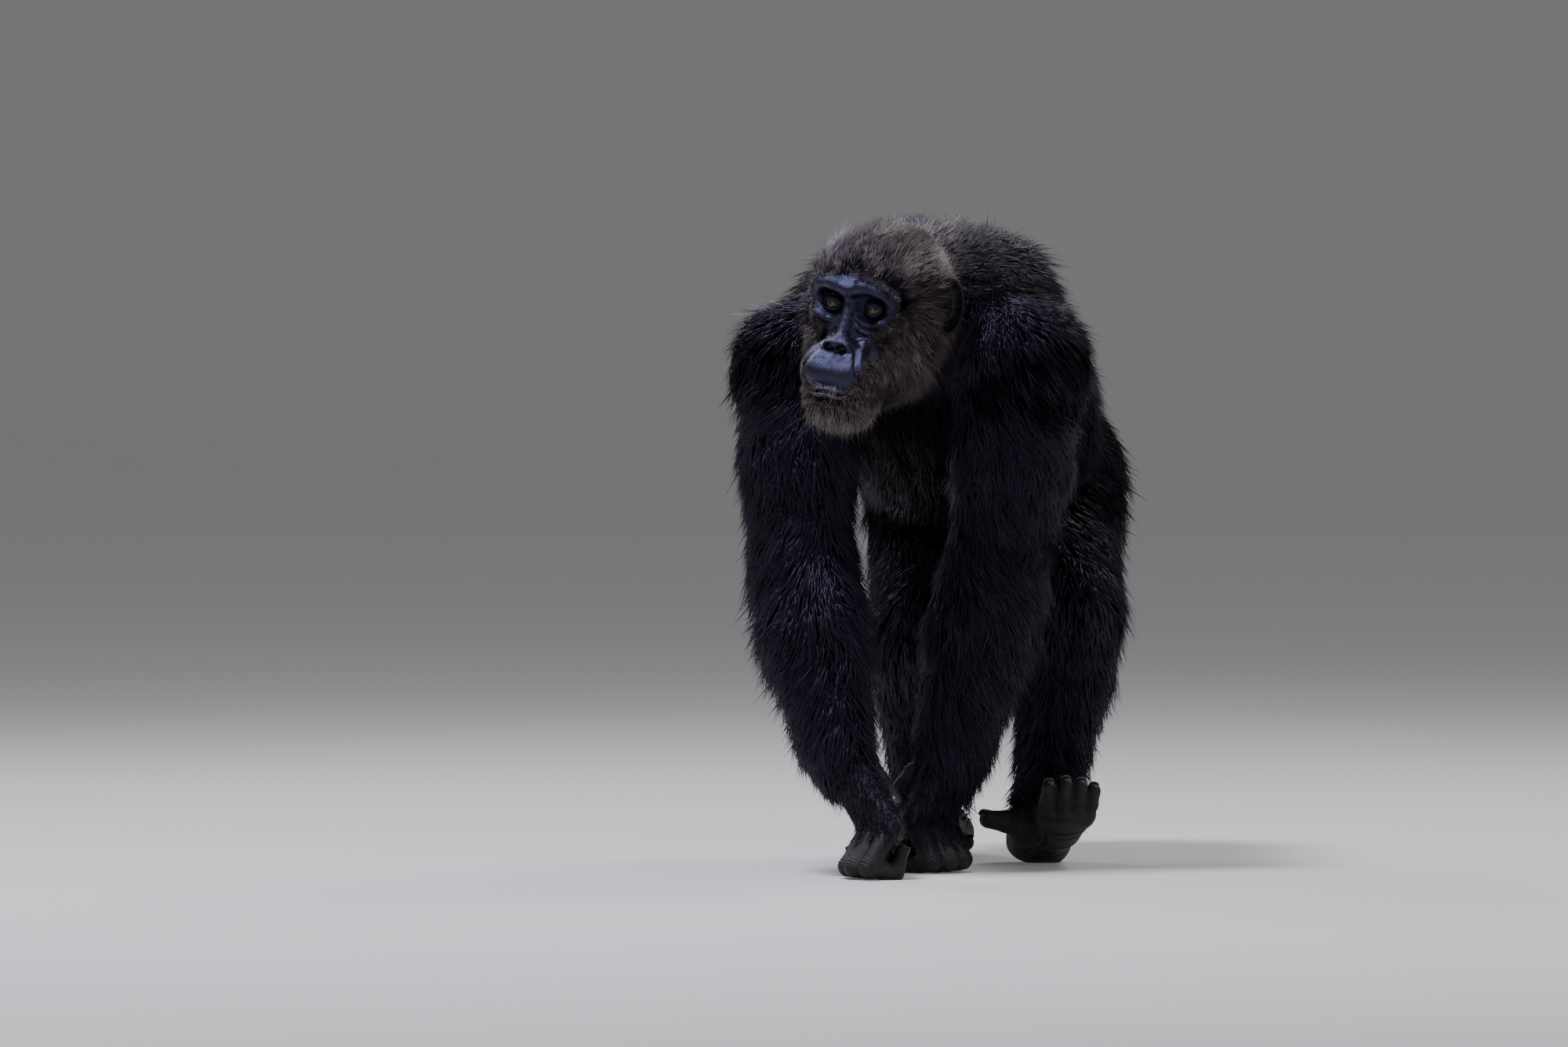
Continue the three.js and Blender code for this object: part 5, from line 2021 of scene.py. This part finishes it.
def ring_surface(points: Array, ring: int, turns: int, flip: bool) -> Surface:
    """A closed ring: ring rows of a cross-section, turns columns round, both joined end to end.

    Args:
        points: rows of the cross-section, one after the other.
        ring: points round the cross-section.
        turns: points round the ring.
        flip: whether the triangles face the other way.

    Returns:
        The ring.
    """
    index = np.arange(ring * turns).reshape(ring, turns)
    a = index
    b = np.roll(index, -1, axis=1)
    c = np.roll(b, -1, axis=0)
    d = np.roll(a, -1, axis=0)
    first = np.stack([a, b, c], axis=-1).reshape(-1, 3)
    second = np.stack([a, c, d], axis=-1).reshape(-1, 3)
    triangles = np.vstack([first, second])
    return Surface(points, triangles[:, ::-1] if flip else triangles)


@dataclass
class Eye:
    """One eye: a ball with a raised cornea."""

    head: Head
    s: int
    gaze: tuple[float, float] = (-4.0, 1.0)  # to the animal's left and up, degrees
    rings: int = 28
    columns: int = 40
    bulge: float = 1.1  # how far the cornea stands out
    bulge_end: float = 34.0  # angle from the pupil in degrees where it ends

    def piece(self, material: Material) -> Object:
        """Makes the eye as a Blender object in place of its node.

        Args:
            material: its material.

        Returns:
            The object.
        """
        yaw, pitch = (math.radians(v) for v in self.gaze)
        level = math.cos(pitch)
        ahead = vec(math.cos(yaw) * level, math.sin(yaw) * level, math.sin(pitch))
        across = unit(np.cross(vec(0, 0, 1), ahead))
        up = np.cross(ahead, across)
        angle = np.linspace(0, math.pi, self.rings + 1)[1:-1]
        turn = np.linspace(0, 2 * math.pi, self.columns, endpoint=False)
        a, t = np.meshgrid(angle, turn, indexing="ij")
        bulge = self.bulge * (1 - smooth(0.0, math.radians(self.bulge_end), a))
        r = (self.head.eye_radius + bulge)[..., None]
        rim = np.cos(t)[..., None] * across + np.sin(t)[..., None] * up
        points = r * (np.cos(a)[..., None] * ahead + np.sin(a)[..., None] * rim)
        front = ahead * (self.head.eye_radius + self.bulge)
        points = np.vstack([points.reshape(-1, 3), front, -ahead * self.head.eye_radius])
        ring = np.degrees(np.concatenate([a.ravel(), [0, math.pi]]))
        columns, count = self.columns, (self.rings - 1) * self.columns
        triangles = []
        for j in range(columns):
            k = (j + 1) % columns
            triangles.append((count, j, k))
            for i in range(self.rings - 2):
                p, q = i * columns + j, i * columns + k
                triangles += [(p, p + columns, q + columns), (p, q + columns, q)]
            last = (self.rings - 2) * columns
            triangles.append((count + 1, last + k, last + j))
        world = self.head.to_world(points + self.head.eye(self.s))
        label = "left" if self.s > 0 else "right"
        made = piece_from(f"eyeball_{label}", Surface(world, np.array(triangles)), {"ring": ring})
        made.data.materials.append(material)
        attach(made, "root")
        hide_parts(f"eye_{label}")
        return made


@dataclass
class CoatPiece:
    """One piece of the coat: its region, how many tufts, and its part of that region."""

    name: str
    region: str
    tufts: int
    pick: Callable[[Array, Array], Array] | None = None
    fine: bool = False  # fewer tufts in a lock


class Coat:
    """The hair: flat tapered tufts rooted in the skin, gathered in locks, lying along the body."""

    seed: int = 7321
    outer_step: float = 8.0  # of the grid of the coat's outer surface
    levels: int = 2  # rows of three corners in a tuft, under its tip
    corners: int = 7  # points of a tuft
    sunk: float = -1.2  # how deep the roots sit in the skin, in mm
    middle: float = 0.56  # share of the coat's depth that a tuft's middle reaches
    patch: float = 0.003  # a tuft's size on the map for the bake

    def __init__(self, body: Body, skin: Skin, marks: Markings) -> None:
        """Takes the skin apart into the regions of the coat.

        Args:
            body: the whole body.
            skin: its skin.
            marks: where it is brown and pale.
        """
        self.body = body
        self.skin = skin
        self.marks = marks
        self.random = np.random.default_rng(self.seed)
        surface = skin.surface
        names = [r.name for r in body.regions]
        centre = surface.points[surface.triangles].mean(axis=1)
        distance = np.stack([body.near(r, centre, 0.0) for r in body.regions], axis=1)
        self.owner = np.array(names)[distance.argmin(axis=1)]
        self.centre = centre
        self.area = surface.areas()
        self.normal = surface.normals()
        self.outer = body.sample(*GRID, self.outer_step, 1.0)

    def lie(self, p: Array, n: Array) -> Array:
        """The way the hair lies at some points, blended between the regions there.

        Args:
            p: points, one a row.
            n: the way out at each point.

        Returns:
            One direction a row.
        """
        total = np.zeros_like(p)
        for region in self.body.regions:
            d = self.body.near(region, p, 0.0)
            close = d < 60
            if not close.any():
                continue
            w = np.exp(-np.clip(d[close], -20, 80) / 11.0)
            total[close] += w[:, None] * unit(region.lie(p[close], n[close]))
        return total

    def wander(self, p: Array, scale: float, seed: int) -> Array:
        """Smooth wandering numbers over the body, about -1 to 1, one a row and axis.

        Args:
            p: points, one a row.
            scale: about how far apart the waves are, in mm.
            seed: of the random numbers.

        Returns:
            Three numbers a row.
        """
        rng = np.random.default_rng(seed)
        out = np.zeros_like(p)
        for axis in range(3):
            for _ in range(4):
                wave = rng.normal(size=3) / scale
                out[:, axis] += np.sin(p @ wave + rng.uniform(0, 2 * math.pi))
        return out / 2.2

    def roots(self, piece: CoatPiece) -> tuple[Array, Array]:
        """Roots spread over the piece's part of the skin, and the way out at each.

        Args:
            piece: the piece of the coat.

        Returns:
            The roots, and the way out at each.
        """
        surface = self.skin.surface
        mine = np.flatnonzero(self.owner == piece.region)
        if piece.pick is not None:
            mine = mine[piece.pick(self.centre[mine], self.normal[surface.triangles[mine, 0]])]
        weight = self.area[mine] * self.density(self.centre[mine], piece.region)
        total = np.cumsum(weight)
        at = (np.arange(piece.tufts) + self.random.random(piece.tufts)) / piece.tufts
        chosen = mine[np.minimum(np.searchsorted(total, at * total[-1]), len(mine) - 1)]
        a, b = self.random.random((2, piece.tufts))
        over = a + b > 1
        a[over], b[over] = 1 - a[over], 1 - b[over]
        share = np.stack([1 - a - b, a, b], axis=1)[..., None]
        corner = surface.triangles[chosen]
        p = (surface.points[corner] * share).sum(axis=1)
        n = unit((self.normal[corner] * share).sum(axis=1))
        return p, n

    def density(self, p: Array, region: str) -> Array:
        """How thickly hair grows at some points, from 0 to 1.

        Args:
            p: points, one a row.
            region: the region's name.

        Returns:
            One share a row.
        """
        if region == "head":
            x, y, z = self.body.head.to_head(p).T
            above = smooth(24, 36, x) * smooth(-84, -93, z)
            above = above * smooth(-101, -97, z) * smooth(48, 40, np.abs(y))
            bald = np.exp(-((y / 17) ** 2) - ((z - 42) / 9) ** 2) * smooth(-60, -30, x)
            grown = np.clip(1 - self.body.head.bare(p), 0.0, 1.0) ** 1.5
            return np.maximum(grown * (1 - 0.85 * bald), 0.22 * above)
        if region.startswith("hand"):
            arm = self.body.arms[0 if region.endswith("left") else 1]
            back = smooth(-14, 14, (p - arm.joints.knuckles) @ arm.forward)
            low = 30 if arm.side is Side.LEFT else 46
            return smooth(low, low + 34, p[:, 2]) * (0.15 + 0.85 * back)
        if region.startswith("foot"):
            leg = self.body.legs[0 if region.endswith("left") else 1]
            q = p - leg.joints.ankle
            return smooth(-52, -30, q @ leg.up) * smooth(105, 60, q @ leg.ahead)
        return np.ones(len(p))

    def size(self, p: Array, region: Region) -> tuple[Array, Array]:
        """Length and width of the tufts at some points.

        Args:
            p: points, one a row.
            region: the region that it grows on.

        Returns:
            Lengths and widths in mm.
        """
        count = len(p)
        length = np.full(count, region.hair.length)
        width = np.full(count, region.hair.width)
        if region.name == "head":
            x, y, z = self.body.head.to_head(p).T
            back = smooth(30, -70, x)
            length = 13 + 31 * back + 18 * smooth(-16, -70, z) * smooth(16, -30, x)
            length = length + 15 * smooth(-102, -116, z) * smooth(-20, 8, x)
            length = length * (1 - 0.5 * smooth(22, 34, x) * smooth(-112, -104, z))
            width = 0.95 + 0.85 * back
        return length, width

    def piece(self, spec: CoatPiece, material: Material) -> Object:
        """Makes one piece of the coat.

        Args:
            spec: what the piece is.
            material: its material.

        Returns:
            The object.
        """
        region = next(r for r in self.body.regions if r.name == spec.region)
        rng = self.random
        root, out = self.roots(spec)
        count = len(root)
        lock, middles = self.locks(root, spec)
        groups = len(middles)
        lie = self.lie(root, out) + 0.20 * self.wander(root, 34.0, 11)
        lie = lie + 0.14 * rng.normal(size=root.shape) + 0.15 * rng.normal(size=(groups, 3))[lock]
        lie -= out * (lie * out).sum(1, keepdims=True)
        lie = unit(lie)
        length, width = self.size(root, region)
        length = length * rng.uniform(0.72, 1.22, count)
        width = width * rng.uniform(0.7, 1.25, count)
        depth = np.clip(-self.outer(root), 3.0, 32.0)
        depth = np.minimum(depth, length * 0.44) + self.loft(root)
        depth = depth * rng.uniform(0.72, 1.2, groups)[lock]
        pull = self.pull(root, lie, middles[lock], region.hair.gather)
        # Random brightness of each tuft and its lock; brighter ones take painted highlights in the
        # hair's material.
        shade = 0.35 * rng.beta(1.3, 4.0, count) + 0.65 * rng.beta(1.1, 3.0, groups)[lock]
        final = rng.uniform(0.5, 1.18, count) + self.stray(root, out, rng)
        heights = (np.full(count, self.sunk), depth * self.middle, depth * final)
        rows = []
        for share, height in zip((0.0, 0.5, 1.0), heights):
            q = root + lie * (share * length)[:, None] + pull * (share ** 1.3)
            rows.append(self.lift(q, height))
        corners = []
        for start, end, wide in zip(rows, rows[1:], (0.9, 0.85)):
            ahead = unit(end - start)
            side = unit(np.cross(ahead, out))
            top = np.cross(side, ahead)
            half = side * (width * wide / 2)[:, None]
            ridge = top * (width * wide * 0.26)[:, None]
            corners += [start - half, start + half, start + ridge]
        corners.append(rows[-1])
        return self.build(spec, region, root, shade, corners, material)

    def stray(self, p: Array, out: Array, rng: np.random.Generator) -> Array:
        """How much further stray tips stand off, most of all along the top of the back.

        Args:
            p: the tufts' roots.
            out: the way out at each root.
            rng: the random numbers.

        Returns:
            One share of the coat's depth a tuft.
        """
        loose = (rng.random(len(p)) < 0.10) * rng.uniform(0.2, 0.75, len(p))
        upright = smooth(0.45, 0.95, out[:, 2]) * smooth(-260, -200, p[:, 1])
        upright = upright * smooth(640, 700, p[:, 2])
        return loose + upright * rng.uniform(-0.1, 0.38, len(p))

    def loft(self, p: Array) -> Array:
        """How much higher the hair stands at ears, cheeks, beard and the face's right side.

        Args:
            p: points, one a row.

        Returns:
            One height a row, in mm.
        """
        head = self.body.head
        x, y, z = head.to_head(p).T
        off = np.abs(y)
        ear = np.exp(-(((x + 72) / 16) ** 2) - ((off - 60) / 22) ** 2 - ((z + 4) / 40) ** 2)
        cheek = np.exp(-(((x + 48) / 26) ** 2) - ((off - 58) / 22) ** 2 - ((z + 34) / 44) ** 2)
        fringe = np.exp(-(((x + 32) / 22) ** 2) - ((y + 56) / 30) ** 2 - ((z + 6) / 58) ** 2)
        beard = smooth(-98, -114, z) * smooth(-24, 4, x) * smooth(60, 20, head.reach(p))
        return 15.0 * ear + 13.0 * cheek + 34.0 * fringe + 10.0 * beard

    def lift(self, q: Array, height: Array) -> Array:
        """Moves points to a height over the skin.

        Args:
            q: points, one a row.
            height: height over the skin in mm, one a row.

        Returns:
            The moved points.
        """
        for _ in range(3):
            value, slope = self.skin.sampled.look(q)
            square = np.maximum((slope * slope).sum(1), 0.3)
            q = q + slope * (np.clip(height - value, -9, 9) / square)[:, None]
        return np.clip(q, *ROOM)

    def locks(self, root: Array, spec: CoatPiece) -> tuple[Array, Array]:
        """The lock that each tuft belongs to, and the middle of each lock.

        Args:
            root: the tufts' roots.
            spec: what the piece is.

        Returns:
            The lock's number for each tuft, and one point a lock.
        """
        tufts_a_lock = 17 if spec.fine else 22
        groups = max(8, len(root) // tufts_a_lock)
        seeds = root[self.random.choice(len(root), groups, replace=False)]
        tree = KDTree(groups)
        for i, p in enumerate(seeds):
            tree.insert(p, i)
        tree.balance()
        return np.array([tree.find(p)[1] for p in root]), seeds

    @staticmethod
    def pull(root: Array, lie: Array, middle: Array, gather: float) -> Array:
        """How far each tuft's tip is drawn sideways to the middle of its lock.

        Args:
            root: the tufts' roots.
            lie: the way that each tuft lies.
            middle: the middle of each tuft's lock.
            gather: how strongly tufts gather.

        Returns:
            One move a tuft, in mm.
        """
        away = middle - root
        away -= lie * (away * lie).sum(1, keepdims=True)
        far = np.linalg.norm(away, axis=1, keepdims=True)
        return away * np.minimum(1.0, 18.0 / np.maximum(far, 1e-6)) * gather

    def build(
        self, spec: CoatPiece, region: Region, root: Array, shade: Array, corners: list[Array],
        material: Material,
    ) -> Object:
        """Joins the tufts of a piece in one mesh, with what they carry and their map.

        Args:
            spec: what the piece is.
            region: the region that it grows on.
            root: the tufts' roots.
            shade: the random brightness of each tuft and its lock, which also paints highlights on
                it.
            corners: the rows of corners of all tufts, from root to tip.
            material: its material.

        Returns:
            The object.
        """
        count, each = len(root), self.corners
        points = np.stack(corners, axis=1).reshape(-1, 3)
        triangles = [(0, 1, 2)]
        for i in range(3):
            j = (i + 1) % 3
            triangles += [(i, i + 3, j + 3), (i, j + 3, j)]
        triangles += [(3 + i, 6, 3 + (i + 1) % 3) for i in range(3)]
        index = np.array(triangles)[None] + (np.arange(count) * each)[:, None, None]
        surface = Surface(points, index.reshape(-1, 3))
        brown, pale = self.marks(root)
        brown = np.clip(brown * self.random.uniform(0.6, 1.0, count) * (0.7 + 1.6 * shade), 0, 1)
        silver = np.where(self.random.random(count) < 0.42, 1.35, 0.30)
        pale = pale * silver * self.random.uniform(0.6, 1.2, count)
        pale = np.clip(pale * (0.4 + 2.4 * shade), 0, 1)
        tip = np.tile(np.append(self.ladder(), 1.0), count)
        values = {
            "tip": tip,
            "shade": np.repeat(shade, each),
            "brown": np.repeat(brown, each),
            "pale": np.repeat(pale, each),
        }
        made = piece_from(spec.name, surface, values)
        made.data.materials.append(material)
        self.map_for_bake(made, region, root)
        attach(made, "root")
        return made

    def ladder(self) -> Array:
        """How far along a tuft each of its corners is, without its tip."""
        return np.repeat(np.arange(self.levels) / self.levels, 3)

    def map_for_bake(self, made: Object, region: Region, root: Array) -> None:
        """Lays each tuft as a small patch at its root's place on an unwrap of the region.

        Args:
            made: the piece.
            region: the region that it grows on.
            root: the tufts' roots.
        """
        start, end = region.axis
        axis = unit(end - start)
        across = unit(np.cross(axis, vec(0.3, 1, 0.1)))
        upright = np.cross(axis, across)
        q = root - start
        turn = np.arctan2(q @ upright, q @ across) / (2 * math.pi) + 0.5
        along = q @ axis
        along = (along - along.min()) / max(np.ptp(along), 1e-6)
        turn = (turn - turn.min()) / max(np.ptp(turn), 1e-6)
        patch = self.patch
        base = np.stack([turn, along], axis=1) * (1 - 2 * patch) + patch * 0.5
        local = np.stack([np.tile([0.0, 1.0, 0.5], self.levels), self.ladder()], axis=1)
        local = np.vstack([local, [0.5, 1.0]]) * patch
        uv = (base[:, None, :] + local[None]).reshape(-1, 2)
        loops = np.zeros(len(made.data.loops), np.int32)
        made.data.loops.foreach_get("vertex_index", loops)
        layer = made.data.uv_layers.new(name="OFBake")
        layer.data.foreach_set("uv", uv[loops].astype(np.float32).ravel())


def trunk_angle(p: Array) -> Array:
    """Angle round the trunk in degrees, 0 at the top of the back, positive to the left."""
    middle = 620 - 0.14 * (p[:, 1] + 140)
    return np.degrees(np.arctan2(p[:, 0] - 8, p[:, 2] - middle))


def coat_pieces(head: Head) -> list[CoatPiece]:
    """The coat's pieces, each under 200,000 triangles.

    Args:
        head: the head.

    Returns:
        The pieces.
    """

    def crown(p: Array, n: Array) -> Array:
        """The head above the ears."""
        return head.to_head(p)[:, 2] > -6

    def cheek(side: int) -> Lie:
        """One side of the head below that.

        Args:
            side: 1 for left, -1 for right.

        Returns:
            What picks that side.
        """

        def part(p: Array, n: Array) -> Array:
            """True on that side."""
            q = head.to_head(p)
            return (q[:, 2] <= -6) & (q[:, 1] * side > 0)

        return part

    def sector(low: float, high: float) -> Lie:
        """A strip of the trunk between two angles."""
        return lambda p, n: (trunk_angle(p) > low) & (trunk_angle(p) <= high)

    pieces = [
        CoatPiece("coat_crown", "head", 18500, crown, True),
        CoatPiece("coat_cheek_left", "head", 13000, cheek(1), True),
        CoatPiece("coat_cheek_right", "head", 10500, cheek(-1), True),
        CoatPiece("coat_neck", "neck", 10400),
        CoatPiece("coat_back_left", "trunk", 15600, sector(0, 70)),
        CoatPiece("coat_back_right", "trunk", 11200, sector(-70, 0)),
        CoatPiece("coat_belly_left", "trunk", 6500, sector(70, 180)),
        CoatPiece("coat_belly_right", "trunk", 6500, sector(-180, -70)),
    ]
    for label in (side.label for side in Side):
        pieces += [
            CoatPiece(f"coat_upper_arm_{label}", f"upper_arm_{label}", 8400),
            CoatPiece(f"coat_forearm_{label}", f"forearm_{label}", 8400),
            CoatPiece(f"coat_hand_{label}", f"hand_{label}", 1900, None, True),
            CoatPiece(f"coat_thigh_{label}", f"thigh_{label}", 4600),
            CoatPiece(f"coat_lower_leg_{label}", f"lower_leg_{label}", 4600),
            CoatPiece(f"coat_foot_{label}", f"foot_{label}", 1000, None, True),
        ]
    return pieces


def main() -> None:
    """Builds the studio, the skin, the eyes and the coat."""
    Studio().build()
    body = Body()
    marks = Markings(body.head)
    skin = Skin(body, marks)
    hide = HideFinish()
    skin.piece([
        hide.material(),
        replace(hide, gloss=(0.47, 0.49, 1.0), shine=0.60, name="skin_face").material(),
        replace(hide, shine=0.30, name="skin_paw").material(),
    ])
    eye = EyeFinish().material()
    for s in (1, -1):
        Eye(body.head, s).piece(eye)
    horn = NailFinish().material()
    for limb in (*body.arms, *body.legs):
        nails(limb, horn)
    coat = Coat(body, skin, marks)
    finish = CoatFinish()
    # The belly's hair is a copy with little reflection: partly its own duller hair, partly painted
    # shade under the body.
    hair, belly_hair_painted_shade = finish.material(), replace(finish, shine=0.05, name="coat_under").material()
    for spec in coat_pieces(body.head):
        coat.piece(spec, belly_hair_painted_shade if "belly" in spec.name else hair)


if __name__ == "__main__":
    logging.basicConfig(level=logging.INFO, format="%(name)s %(message)s")
    main()
